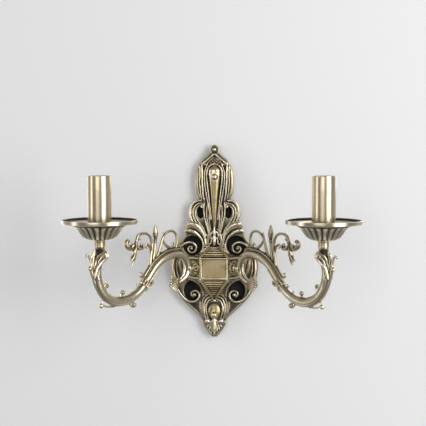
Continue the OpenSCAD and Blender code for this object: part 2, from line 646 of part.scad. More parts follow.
// Spray of stems on top of the arm
saddle_r = 1.7;
saddle_off = hook_tube_r + slip + saddle_r;
saddle_from = arm_starts[1][2] + 25;
saddle_to = shoulder_end.x + 8;
saddle_line = [for (p = arm_line) if (p[2] <= saddle_from && p[2] >= -fall_a - 1 && p.x < saddle_to)
    [p.x - saddle_off * sin(p[2]), p.y + saddle_off * cos(p[2]), p[2]]];
module spray_stem(foot, points, stops, n = 3, broad = 1) {
    stem(concat([for (f = foot) spot(f[0], f[1], saddle_off)], moved(shoulder_end, points)), stops, n, 6,
        broad = broad);
}
module arm_spray() {
    color(BRASS) {
        rod(saddle_line, spread([0.9, 1.5, 1.6, 1.6, 1.4], len(saddle_line)), 8, broad = 1.3);
        // Left stem, arched over to the hanging flower
        spray_stem([[2, 0.02]], [[3.7, 15.6], [2.3, 28.6], [1.1, 35.1], [4.9, 41.2], [11.2, 44.4],
            [17.7, 44.6], [23, 42.2], [25.3, 33.6], [28.1, 22.6], [29.5, 14.2], [33.3, 7.6]],
            [1.9, 1.7, 1.6, 1.5, 1.3, 1.6, 2, 1.4, 0.8]);
        spray_stem([], [[26.2, 30.6], [32.7, 28.6], [37.7, 31], [39.5, 35.2], [37.3, 38.6]],
            [1.4, 1.7, 1.8, 1.4, 0.9], broad = 1.3);
        spray_stem([], [[26.2, 32.1], [21.2, 28.6], [16.2, 28.4], [15.3, 32.2]], [1.4, 1.8, 1.6, 0.9],
            broad = 1.3);
        spray_stem([], [[2.3, 27.1], [5.7, 31.2], [9.5, 32.2], [10.1, 29.2]], [1.1, 1.2, 1.2, 0.9], 2);
        // Bud on the middle stem
        spray_stem([[1, 0.96]], [[-2.9, 21.6], [-4.5, 35.6]], [1.8, 1.5, 1.3], 4);
        stem(moved(shoulder_end, [[-4.5, 34.6], [-4.5, 38.6], [-4.4, 43.6], [-4.3, 48.6], [-4.1, 53.6]]),
            [1.4, 2.6, 2.7, 2.2, 1], 3, 8);
        translate([shoulder_end.x - 4.5, 0, shoulder_end.y + 36.6]) cylinder(h = 1.6, r = 3, center = true);
        // Right stem, and its loop down to the hook's top
        spray_stem([[1, 0.84]], [[-8.8, 18.6], [-12.7, 29.1], [-16.7, 38.4], [-21.3, 42.6], [-26.7, 44.6],
            [-32.9, 44.4], [-37.1, 40.6], [-37.9, 34.1], [-37.7, 28.6]],
            [1.6, 1.4, 1.3, 1.3, 1.2, 1.2, 1.2, 1.2]);
        stem(concat(moved(shoulder_end, [[-37.7, 28.6]]), [spot(1, 0.03, saddle_off)]), [1.2, 1.4], 3, 6);
        stem(concat(moved(shoulder_end, [[-16.9, 34.1], [-20.8, 29.1], [-26.3, 25.6]]),
            [spot(1, 0.08, saddle_off)]), [1.1, 1.4, 1.6, 1.4], 3, 6);
        spray_stem([], [[-16.3, 37.6], [-16.3, 40.6], [-17.1, 43.6]], [1, 0.8, 0.9], 2);
        translate([shoulder_end.x - 17.2, 0, shoulder_end.y + 43.6]) sphere(r = 1.5, $fn = 24);
        translate([shoulder_end.x - 12.5, 0, shoulder_end.y + 26]) sphere(r = 1.6, $fn = 24);
        // Curl at the lower end
        spray_stem([[2, 0.3]], [[14.7, -5.9], [18.3, -5.3], [19.5, -2.5], [17.5, -0.9]],
            [1.3, 1.3, 1.2, 1, 0.8], 2);
    }
}
module arm_spray_left() {
    at_facet(-1) arm_spray();
}
module arm_spray_right() {
    at_facet(1) arm_spray();
}

// Fluted boss between block and arm
boss_r = 9.5;
boss_rim_t = boss_t / 3;
boss_neck_r = boss_r - 2.1;
boss_flutes = 12;
boss_flute_r = 1.2;
module arm_boss() {
    color(BRASS) difference() {
        rotate([0, 90, 0]) union() {
            cylinder(h = boss_rim_t, r = boss_r);
            cylinder(h = boss_t, r = boss_neck_r);
        }
        for (k = [0:boss_flutes - 1]) rotate([k * 360 / boss_flutes, 0, 0])
            translate([boss_rim_t + boss_t / 2, 0, boss_neck_r + boss_flute_r]) rotate([0, 90, 0])
                cylinder(h = boss_t + 2, r = boss_flute_r * 1.6, $fn = 24, center = true);
        rotate([0, 90, 0]) translate([0, 0, -1]) cylinder(h = boss_t + 2, r = tube_r + slip);
    }
}
module arm_boss_left() {
    at_facet(-1) arm_boss();
}
module arm_boss_right() {
    at_facet(1) arm_boss();
}
module arm_tube() {
    color(STEEL) rotate([0, 90, 0]) translate([0, 0, -tube_in]) difference() {
        cylinder(h = tube_in + tube_out, r = tube_r);
        translate([0, 0, -1]) cylinder(h = tube_in + tube_out + 2, r = way_r);
    }
}
module arm_tube_left() {
    at_facet(-1) arm_tube();
}
module arm_tube_right() {
    at_facet(1) arm_tube();
}
module arm_nut() {
    color(STEEL) rotate([0, 90, 0]) translate([0, 0, -block_t - seat - tube_nut_h]) difference() {
        rotate(30) hexagon(tube_nut_af, tube_nut_h);
        translate([0, 0, -1]) cylinder(h = tube_nut_h + 2, r = tube_r + thread);
    }
}
module arm_nut_left() {
    at_facet(-1) arm_nut();
}
module arm_nut_right() {
    at_facet(1) arm_nut();
}

// Neck ring, pan and what clamps them
module neck_ring(side) {
    color(BRASS) at_candle(side, ring_z) rotate_extrude() polygon([[nipple_r + slip, 0], [ring_r - 0.7, 0],
        [ring_r - 0.2, 0.8], [ring_r - 0.5, 2.4], [ring_r - 0.6, ring_h - 2.6], [ring_r, ring_h - 1.2],
        [ring_r, ring_h], [nipple_r + slip, ring_h]]);
}
module neck_ring_left() {
    neck_ring(-1);
}
module neck_ring_right() {
    neck_ring(1);
}
seat_r = sleeve_r + 1;
cup_r = seat_r + 0.523 * (pan_r - seat_r);
cup_h = pan_h - 7;
brim_h = pan_h - 5.2;
// Radius part of the way up the cup's wall, from the sleeve's seat to the cup's edge
function cup(t) = seat_r + t * (cup_r - seat_r);
// Radius part of the way over the brim, from the cup's edge to the pan's rim
function brim(t) = cup_r + t * (pan_r - cup_r);
module pan_section() {
    polygon([[nipple_r + slip, 0], [seat_r - 2.5, 0], [cup(0.05), 1.2], [cup(0.31), 3], [cup(0.51), 6],
        [cup(0.73), cup_h - 4.6], [cup(0.87), cup_h - 1.8], [cup_r, cup_h], [brim(0.51), brim_h],
        [brim(0.88), brim_h + 1.4], [pan_r, brim_h + 2.4], [pan_r, pan_h], [brim(0.91), pan_h],
        [brim(0.85), pan_h - 2], [brim(0.47), brim_h + pan_t], [cup(0.95), cup_h + pan_t],
        [cup(0.76), cup_h - 1.2], [cup(0.59), cup_h - 5], [cup(0.37), 7], [cup(0.17), 4.4],
        [seat_r, pan_t + 0.2], [sleeve_r + slip, pan_t], [nipple_r + slip, pan_t]]);
}
flute_r = 1.9;
flute_l = 19;
flute_tilt = 43;
flute_mid = [cup(0.61), 5.8];
module drip_pan(side) {
    color(BRASS) at_candle(side, pan_z) difference() {
        rotate_extrude() pan_section();
        for (k = [0:flute_n - 1]) rotate(k * 360 / flute_n) translate([flute_mid.x, 0, flute_mid.y])
            rotate([0, flute_tilt, 0]) cylinder(h = flute_l, r = flute_r, $fn = 24, center = true);
    }
}
module drip_pan_left() {
    drip_pan(-1);
}
module drip_pan_right() {
    drip_pan(1);
}
module nipple(side) {
    color(STEEL) at_candle(side, nipple_z) difference() {
        cylinder(h = nipple_top - nipple_z, r = nipple_r);
        translate([0, 0, -1]) cylinder(h = nipple_top - nipple_z + 2, r = nipple_bore);
    }
}
module nipple_left() {
    nipple(-1);
}
module nipple_right() {
    nipple(1);
}
module pan_nut(side) {
    color(STEEL) at_candle(side, floor_z + seat) difference() {
        hexagon(pan_nut_af, pan_nut_h);
        translate([0, 0, -1]) cylinder(h = pan_nut_h + 2, r = nipple_r + thread);
    }
}
module pan_nut_left() {
    pan_nut(-1);
}
module pan_nut_right() {
    pan_nut(1);
}

// Lamp holder and candle sleeve
tongue_l = shell_z - contact_z - seat;
tongue_w = 3;
tongue_in = 0.3;
contact_r = 4;
pin_r = 1.6;
module holder_body(side) {
    color(BAKELITE) at_candle(side) difference() {
        translate([0, 0, holder_z]) cylinder(h = holder_h, r = holder_r);
        translate([0, 0, contact_z]) cylinder(h = holder_h, r = socket_r + shell_t_holder + slip);
        translate([0, 0, holder_z + hub_h]) cylinder(h = cavity_top - holder_z - hub_h, r = holder_r - 2.6);
        translate([0, 0, holder_z - 1]) cylinder(h = hub_h + 2, r = nipple_r + thread);
        translate([0, 0, cavity_top - 1]) cylinder(h = contact_z - cavity_top + 2, r = pin_r + thread);
    }
}
module holder_body_left() {
    holder_body(-1);
}
module holder_body_right() {
    holder_body(1);
}
module holder_shell(side) {
    color(BRASS) at_candle(side, shell_z) difference() {
        union() {
            cylinder(h = socket_l, r = socket_r + shell_t_holder);
            translate([0, 0, -tongue_l]) for (a = [0, 180]) rotate(a)
                translate([socket_r + tongue_in, -tongue_w / 2, 0])
                    cube([shell_t_holder - tongue_in, tongue_w, tongue_l + 1]);
        }
        translate([0, 0, -1]) cylinder(h = socket_l + 2, r = socket_r);
    }
}
module holder_shell_left() {
    holder_shell(-1);
}
module holder_shell_right() {
    holder_shell(1);
}
module holder_contact(side) {
    color(BRASS) at_candle(side, contact_z) {
        translate([0, 0, seat]) cylinder(h = 0.8, r = contact_r);
        translate([0, 0, seat]) cylinder(h = 2.6, r = pin_r + 0.2);
        translate([0, 0, cavity_top - contact_z - 2]) cylinder(h = 2 + contact_z - cavity_top + 1, r = pin_r);
    }
}
module holder_contact_left() {
    holder_contact(-1);
}
module holder_contact_right() {
    holder_contact(1);
}
module sleeve(side) {
    color(BRASS) at_candle(side, sleeve_z) difference() {
        cylinder(h = sleeve_h, r = sleeve_r);
        translate([0, 0, -1]) cylinder(h = sleeve_h + 2, r = sleeve_r - sleeve_t);
    }
}
module sleeve_left() {
    sleeve(-1);
}
module sleeve_right() {
    sleeve(1);
}

// Leads and terminals
function facet_point(p) = [facet_x + p.x * cos(45), -facet_y - p.x * cos(45), p.y];
lead_end = cavity_top - 2 - seat;
lead_line = concat(
    [for (p = LEAD_IN_BLOCK) [terminal_w / 2 + p.x, -wire_y - p.y, 0]],
    [for (p = LEAD_IN_ARM) if (p.y < lead_end - 2) facet_point(p)],
    [facet_point([candle_x, lead_end])]);
module wire(side) {
    color("#d9d4c4") mirror([side < 0 ? 1 : 0, 0, 0])
        cord(lead_line, wire_r, first = [1, 0, 0], last = [0, 0, 1]);
}
module wire_left() {
    wire(-1);
}
module wire_right() {
    wire(1);
}
module terminal_block() {
    color(BAKELITE) difference() {
        translate([-terminal_w / 2, -strap_t - terminal_d, -terminal_h / 2])
            cube([terminal_w, terminal_d, terminal_h]);
        rotate([90, 0, 0]) cylinder(h = 40, r = m3_r + slip);
        for (x = [-7.5, 7.5]) translate([x, -strap_t - terminal_d + 8, 0]) rotate([90, 0, 0])
            cylinder(h = 10, r = 1.9 + thread);
    }
}
module terminal_screws() {
    color(STEEL) {
        for (x = [-7.5, 7.5]) translate([x, -strap_t - terminal_d + 6, 0]) rotate([90, 0, 0]) difference() {
            cylinder(h = 5, r = 1.9);
            translate([-3, -0.4, 4.2]) cube([6, 0.8, 1]);
        }
        rotate([90, 0, 0]) cylinder(h = strap_t + terminal_d + 1, r = m3_r);
        translate([0, -strap_t - terminal_d - seat, 0]) rotate([90, 0, 0]) cylinder(h = 1.8, r = 2.8);
    }
}
module earth_screw() {
    color(BRASS) at_nut(earth_z) {
        cylinder(h = strap_t + lug_t + 1, r = earth_r);
        translate([0, 0, strap_t + lug_t + 2 * seat]) cylinder(h = 2.2, r = 3.4);
    }
}
module earth_lug() {
    color(STEEL) difference() {
        union() {
            at_nut(earth_z) translate([0, 0, strap_t + seat]) cylinder(h = lug_t, r = lug_r);
            translate([0, -lead_y, earth_z - lug_r - lug_l + 1]) cylinder(h = lug_l, r = 1.5);
        }
        at_nut(earth_z) cylinder(h = 10, r = earth_r + thread);
        at_nut(earth_z) translate([0, 0, strap_t + lug_t + seat]) cylinder(h = 10, r = lug_r);
    }
}
module earth_lead() {
    last_z = earth_z - lug_r - lug_l + 1;
    line = [for (p = EARTH_LEAD) [p.x, -lead_y, p.y == 6 ? terminal_h / 2 : p.y]];
    color("#7fa04a") cord(concat(line, [[0, -lead_y, last_z]]), lead_r, first = [0, 0, 1], last = [0, 0, 1]);
}

back_plate();
centre_block();
wall_strap();
strap_studs();
stud_nuts();
dome_nuts();
block_screws();
arm_left();
arm_right();
arm_spray_left();
arm_spray_right();
arm_boss_left();
arm_boss_right();
arm_tube_left();
arm_tube_right();
arm_nut_left();
arm_nut_right();
neck_ring_left();
neck_ring_right();
drip_pan_left();
drip_pan_right();
nipple_left();
nipple_right();
pan_nut_left();
pan_nut_right();
holder_body_left();
holder_body_right();
holder_shell_left();
holder_shell_right();
holder_contact_left();
holder_contact_right();
sleeve_left();
sleeve_right();
wire_left();
wire_right();
terminal_block();
terminal_screws();
earth_screw();
earth_lug();
earth_lead();
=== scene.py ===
"""Two-arm candle sconce in antique brass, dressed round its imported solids."""

import json
import logging
import math
from dataclasses import dataclass, field
from enum import Enum
from typing import Callable, Optional, Sequence, Union

import bpy
import numpy as np
from mathutils import Matrix, Vector


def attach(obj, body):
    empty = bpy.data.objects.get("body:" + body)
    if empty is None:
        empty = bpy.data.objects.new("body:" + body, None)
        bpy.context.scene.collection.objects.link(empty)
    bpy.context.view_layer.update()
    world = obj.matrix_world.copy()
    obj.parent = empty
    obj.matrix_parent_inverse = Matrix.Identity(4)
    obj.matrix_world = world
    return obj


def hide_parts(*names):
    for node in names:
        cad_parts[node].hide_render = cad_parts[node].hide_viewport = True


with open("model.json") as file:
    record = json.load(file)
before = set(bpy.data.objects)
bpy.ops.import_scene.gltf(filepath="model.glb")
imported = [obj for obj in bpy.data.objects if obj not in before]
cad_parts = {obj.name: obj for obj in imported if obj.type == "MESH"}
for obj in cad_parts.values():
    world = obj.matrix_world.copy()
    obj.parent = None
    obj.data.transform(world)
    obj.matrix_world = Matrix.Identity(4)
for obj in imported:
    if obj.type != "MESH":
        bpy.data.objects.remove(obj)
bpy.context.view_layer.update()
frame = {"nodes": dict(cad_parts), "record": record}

LOG = logging.getLogger("sconce")
MM = 0.001
Point = tuple[float, float]
Triple = tuple[float, float, float]
Stops = Union[float, Sequence[float]]
Number = Union[int, float, "Signal"]
Piece = bpy.types.Object


# --------------------------------------------------------------------------- shading


class Signal:
    """One value in a node graph, which can be used in arithmetic."""

    def __init__(self, graph: "Graph", socket: bpy.types.NodeSocket) -> None:
        """Wraps a socket of a graph."""
        self.graph = graph
        self.socket = socket

    def _join(self, operation: str, first: Number, second: Number, clamp: bool = False) -> "Signal":
        """The result of one Math node, held between 0 and 1 if clamp is set."""
        settings = {"operation": operation, "use_clamp": clamp}
        return self.graph.signal("ShaderNodeMath", settings, {0: first, 1: second})

    def __add__(self, other: Number) -> "Signal":
        """Sum of two values."""
        return self._join("ADD", self, other)

    def __mul__(self, other: Number) -> "Signal":
        """Product of two values."""
        return self._join("MULTIPLY", self, other)

    def __sub__(self, other: Number) -> "Signal":
        """This value less another."""
        return self._join("SUBTRACT", self, other)

    def __rsub__(self, other: Number) -> "Signal":
        """Another value less this one."""
        return self._join("SUBTRACT", other, self)

    def held(self) -> "Signal":
        """This value held between 0 and 1."""
        return self._join("ADD", self, 0.0, True)

    def swing(self, amount: float) -> "Signal":
        """A change about nothing, from a value about a half."""
        return (self - 0.5) * amount


class Graph:
    """A node tree under construction, with one method for every kind of node."""

    def __init__(self, node_tree: bpy.types.NodeTree) -> None:
        """Empties the node tree."""
        self.nodes = node_tree.nodes
        self.links = node_tree.links
        self.nodes.clear()

    def node(self, kind: str, settings: dict, inputs: dict) -> bpy.types.Node:
        """Adds a node with its properties, and feeds its sockets."""
        made = self.nodes.new(kind)
        for key, value in settings.items():
            setattr(made, key, value)
        self.feed(made, inputs)
        return made

    def feed(self, made: bpy.types.Node, inputs: dict) -> None:
        """Sets or links sockets of a node.

        Args:
            made: the node.
            inputs: values, signals or sockets, by socket name or index.
        """
        for key, value in inputs.items():
            socket = made.inputs[key]
            if isinstance(value, Signal):
                value = value.socket
            if isinstance(value, bpy.types.NodeSocket):
                self.links.new(value, socket)
            elif isinstance(value, tuple) and len(value) == 3 and socket.type == "RGBA":
                socket.default_value = (*value, 1.0)
            else:
                socket.default_value = value

    def signal(self, kind: str, settings: dict, inputs: dict, output: Union[int, str] = 0) -> Signal:
        """Adds a node and returns one of its outputs as a signal."""
        return Signal(self, self.node(kind, settings, inputs).outputs[output])


class Tree(Graph):
    """A material under construction."""

    def __init__(self, name: str) -> None:
        """Makes the material with its Principled shader and output."""
        self.material = bpy.data.materials.new(name)
        self.material.use_nodes = True
        super().__init__(self.material.node_tree)
        self.shader = self.node("ShaderNodeBsdfPrincipled", {}, {})
        self.output = self.node("ShaderNodeOutputMaterial", {}, {"Surface": self.shader.outputs[0]})
        self.where = self.signal("ShaderNodeTexCoord", {}, {}, "Object")

    def noise(self, scale: float, detail: float, stretch: Optional[Triple] = None) -> Signal:
        """Noise from 0 to 1, at a scale per metre, with the coordinates stretched if that is given."""
        where = self.where
        if stretch:
            where = self.signal("ShaderNodeMapping", {}, {"Vector": where, "Scale": stretch})
        return self.signal("ShaderNodeTexNoise", {}, {"Vector": where, "Scale": scale, "Detail": detail},
                           "Fac")

    def step(self, value: Signal, low: float, high: float) -> Signal:
        """A smooth step of a value between two limits."""
        return self.signal("ShaderNodeMapRange", {"interpolation_type": "SMOOTHSTEP"},
                           {"Value": value, "From Min": low, "From Max": high}, "Result")

    def blend(self, share: Number, first: Union[Triple, Signal], second: Union[Triple, Signal]) -> Signal:
        """Mixes two colours by a share."""
        return self.signal("ShaderNodeMix", {"data_type": "RGBA"}, {0: share, 6: first, 7: second}, 2)

    def bump(self, height: Signal, distance: float) -> Signal:
        """A bumped normal from a height."""
        return self.signal("ShaderNodeBump", {}, {"Height": height, "Distance": distance, "Strength": 1.0})

    def finish(self, inputs: dict) -> bpy.types.Material:
        """Feeds the Principled shader and returns the material."""
        self.feed(self.shader, inputs)
        return self.material


@dataclass(frozen=True)
class CastBrass:
    """Cast brass, dark in its hollows from patina and painted shade, and rubbed bright where hands and cloths
    reach.
    """

    name: str
    # hollow: near-black colour of the dark patina, which also paints shade into deep recesses.
    hollow: Triple = (0.02, 0.019, 0.019)
    body: Triple = (0.42, 0.345, 0.22)
    rubbed: Triple = (0.88, 0.8, 0.64)
    dark_until: float = 0.3
    dark_blend: float = 0.2
    bright_from: float = 0.46
    bright_blend: float = 0.42
    rough: float = 0.26
    hollow_rough: float = 0.62
    hollow_metal: float = 0.55
    mottle: float = 0.22
    speckle: float = 0.08
    relief: float = 0.00008

    def build(self) -> bpy.types.Material:
        """Makes the material from the wear attribute, which holds rubbing, patina and painted shade, and from
        two scales of noise.
        """
        tree = Tree(self.name)
        wear = tree.signal("ShaderNodeAttribute", {"attribute_name": "wear"}, {}, "Fac")
        clouds = tree.noise(90.0, 4.0)
        grain = tree.noise(900.0, 3.0)
        # worn: the rubbing, patina and painted shade of the attribute, with noise.
        worn = wear + clouds.swing(self.mottle) + grain.swing(self.speckle)
        lit = tree.step(worn, self.dark_until - self.dark_blend, self.dark_until + self.dark_blend)
        bright = tree.step(worn, self.bright_from, self.bright_from + self.bright_blend)
        drop = self.hollow_rough - self.rough - 0.08
        return tree.finish({
            "Base Color": tree.blend(bright, tree.blend(lit, self.hollow, self.body), self.rubbed),
            "Metallic": lit * (1 - self.hollow_metal) + self.hollow_metal,
            "Roughness": self.hollow_rough - lit * drop - bright * 0.1 + grain.swing(0.12),
            "Normal": tree.bump(grain * 0.4 + clouds * 0.6, self.relief)})


@dataclass(frozen=True)
class BrushedBrass:
    """Brass tube brushed along its length, with a thin lacquer."""

    name: str
    colour: Triple = (0.74, 0.635, 0.46)
    shade: Triple = (0.54, 0.45, 0.30)
    stretch: Triple = (60.0, 60.0, 0.15)
    rough: float = 0.22
    relief: float = 0.00002
    lacquer: float = 0.15

    def build(self) -> bpy.types.Material:
        """Makes the material from stretched noise."""
        tree = Tree(self.name)
        lines = tree.noise(60.0, 5.0, self.stretch)
        clouds = tree.noise(45.0, 3.0)
        share = (lines * 0.9 + clouds * 0.1).held()
        return tree.finish({
            "Base Color": tree.blend(tree.step(share, 0.35, 0.68), self.shade, self.colour),
            "Metallic": 1.0, "Roughness": lines * 0.1 + self.rough, "Normal": tree.bump(lines, self.relief),
            "Coat Weight": self.lacquer, "Coat Roughness": 0.25})


@dataclass(frozen=True)
class PlainMetal:
    """Turned or plated metal with fine wear."""

    name: str
    colour: Triple
    rough: float = 0.28
    tarnish: Triple = (0.2, 0.16, 0.1)
    most_tarnish: float = 0.35
    relief: float = 0.00004

    def build(self) -> bpy.types.Material:
        """Makes the material from two scales of noise."""
        tree = Tree(self.name)
        clouds = tree.noise(160.0, 4.0)
        share = tree.step(clouds, 0.55, 0.8) * self.most_tarnish
        return tree.finish({
            "Base Color": tree.blend(share, self.colour, self.tarnish), "Metallic": 1.0,
            "Roughness": clouds.swing(0.2) + self.rough,
            "Normal": tree.bump(tree.noise(1400.0, 2.0), self.relief)})


@dataclass(frozen=True)
class Moulded:
    """Moulded insulator or flexible sheath."""

    name: str
    colour: Triple
    rough: float = 0.45
    stripe: Optional[Triple] = None
    stripe_scale: float = 160.0
    shade: float = 0.82
    relief: float = 0.00004

    def build(self) -> bpy.types.Material:
        """Makes the material, with a second colour in stripes where one is given."""
        tree = Tree(self.name)
        clouds = tree.noise(120.0, 3.0)
        dark = tuple(self.shade * c for c in self.colour)
        colour = tree.blend(tree.step(clouds, 0.35, 0.75), self.colour, dark)
        if self.stripe:
            wave = tree.signal("ShaderNodeTexWave", {"bands_direction": "X"},
                               {"Vector": tree.where, "Scale": self.stripe_scale}, "Fac")
            colour = tree.blend(tree.step(wave, 0.55, 0.65), colour, self.stripe)
        return tree.finish({
            "Base Color": colour, "Roughness": clouds.swing(0.15) + self.rough,
            "Normal": tree.bump(tree.noise(1800.0, 2.0), self.relief)})


class Slot(Enum):
    """Material slots of the record."""

    PLATE = "plate_brass"
    CAST = "cast_brass"
    PAN = "pan_brass"
    BRUSHED = "brushed_brass"
    POLISHED = "polished_brass"
    STEEL = "zinc_steel"
    HOLDER = "holder_plastic"
    WHITE = "white_plastic"
    LEAD = "lead_sheath"
    EARTH = "earth_sheath"


class Palette:
    """The lamp's finishes, one for each slot."""

    def __init__(self) -> None:
        """Builds every finish once."""
        finishes = {
            Slot.PLATE: CastBrass("antique_plate", body=(0.43, 0.36, 0.24), rubbed=(0.88, 0.788, 0.605),
                                  dark_until=0.33, bright_from=0.45),
            Slot.CAST: CastBrass("antique_cast", body=(0.48, 0.4, 0.25)),
            Slot.PAN: CastBrass("antique_pan", body=(0.46, 0.385, 0.255), dark_until=0.41,
                                bright_from=0.43, rough=0.2),
            Slot.BRUSHED: BrushedBrass("brushed_sleeve"),
            Slot.POLISHED: PlainMetal("polished_brass", (0.8, 0.69, 0.46), 0.2),
            Slot.STEEL: PlainMetal("zinc_plate", (0.62, 0.62, 0.6), 0.34, (0.3, 0.29, 0.27)),
            Slot.HOLDER: Moulded("holder_insulator", (0.74, 0.71, 0.63)),
            Slot.WHITE: Moulded("terminal_insulator", (0.8, 0.8, 0.77)),
            Slot.LEAD: Moulded("lead_sheath", (0.76, 0.74, 0.66), 0.5),
            Slot.EARTH: Moulded("earth_sheath", (0.16, 0.42, 0.08), 0.5, (0.75, 0.62, 0.05))}
        self.materials = {slot: finish.build() for slot, finish in finishes.items()}
        self.gold = CastBrass("antique_gold", body=(0.58, 0.455, 0.245), rubbed=(0.88, 0.79, 0.6),
                              dark_until=0.35, bright_from=0.5, rough=0.24, mottle=0.6).build()

    def dress(self, piece: Piece, slot: Slot) -> None:
        """Gives a piece one finish all over."""
        piece.data.materials.clear()
        piece.data.materials.append(self.materials[slot])

    def dress_nodes(self, nodes: dict, record: dict) -> None:
        """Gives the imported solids, which come by name, the finishes that their record names."""
        for part in record["subparts"]:
            for slot in nodes[part["node"]].material_slots:
                slot.material = self.materials[Slot(part["material_slot"])]


# --------------------------------------------------------------------------- modelling


@dataclass(frozen=True)
class Station:
    """One ring of a swept strand."""

    place: Vector
    heading: float
    radius: float


def smooth(points: Sequence[Point], steps: int) -> list[Point]:
    """A smooth line through points, with a number of steps between each two."""
    p = [np.array(q, float) for q in points]
    out = []
    for i in range(len(p) - 1):
        a, b, c, d = p[max(i - 1, 0)], p[i], p[i + 1], p[min(i + 2, len(p) - 1)]
        for k in range(steps):
            t = k / steps
            out.append(tuple(0.5 * (2 * b + (c - a) * t + (2 * a - 5 * b + 4 * c - d) * t * t
                                    + (3 * b - a - 3 * c + d) * t ** 3)))
    return out + [tuple(p[-1])]


def spread(stops: Sequence[float], count: int) -> list[float]:
    """Values at even places along a list of stops."""
    return list(np.interp(np.linspace(0, len(stops) - 1, count), range(len(stops)), stops))


def polar(centre: Point, radius: float, angle: float) -> Point:
    """The point at a distance and an angle in degrees from a centre."""
    a = math.radians(angle)
    return centre[0] + radius * math.cos(a), centre[1] + radius * math.sin(a)


def arc(centre: Point, radius: float, start: float, end: float, count: int) -> list[Point]:
    """Points on an arc, from a start angle to an end angle in degrees."""
    return [polar(centre, radius, a) for a in np.linspace(start, end, count)]


def spiral(centre: Point, outer: float, inner: float, start: float, turns: float, count: int) -> list[Point]:
    """Points on a spiral, from its outer radius inwards."""
    return [polar(centre, outer + (inner - outer) * t, start + 360 * turns * t)
            for t in np.linspace(0, 1, count)]


def flip(points: Sequence[Point]) -> list[Point]:
    """Points mirrored to the other side of the lamp."""
    return [(-x, z) for x, z in points]


def stations(points: Sequence[Point], radii: Sequence[float], depths: Sequence[float],
             steps: int) -> list[Station]:
    """Rings along a smooth line in the drawing plane.

    Args:
        points: the line's points (x, z) in millimetres.
        radii: radius stops, spread evenly along the line.
        depths: stops of y, spread evenly along the line.
        steps: rings between each two points.

    Returns:
        The rings, in metres.
    """
    line = smooth(points, steps)
    co = np.array(line)
    ahead = np.vstack([co[1:], co[-1:]]) - np.vstack([co[:1], co[:-1]])
    headings = np.unwrap(np.arctan2(ahead[:, 1], ahead[:, 0]))
    stops = zip(line, headings, spread(radii, len(line)), spread(depths, len(line)))
    return [Station(Vector((x * MM, y * MM, z * MM)), float(h), r * MM) for (x, z), h, r, y in stops]


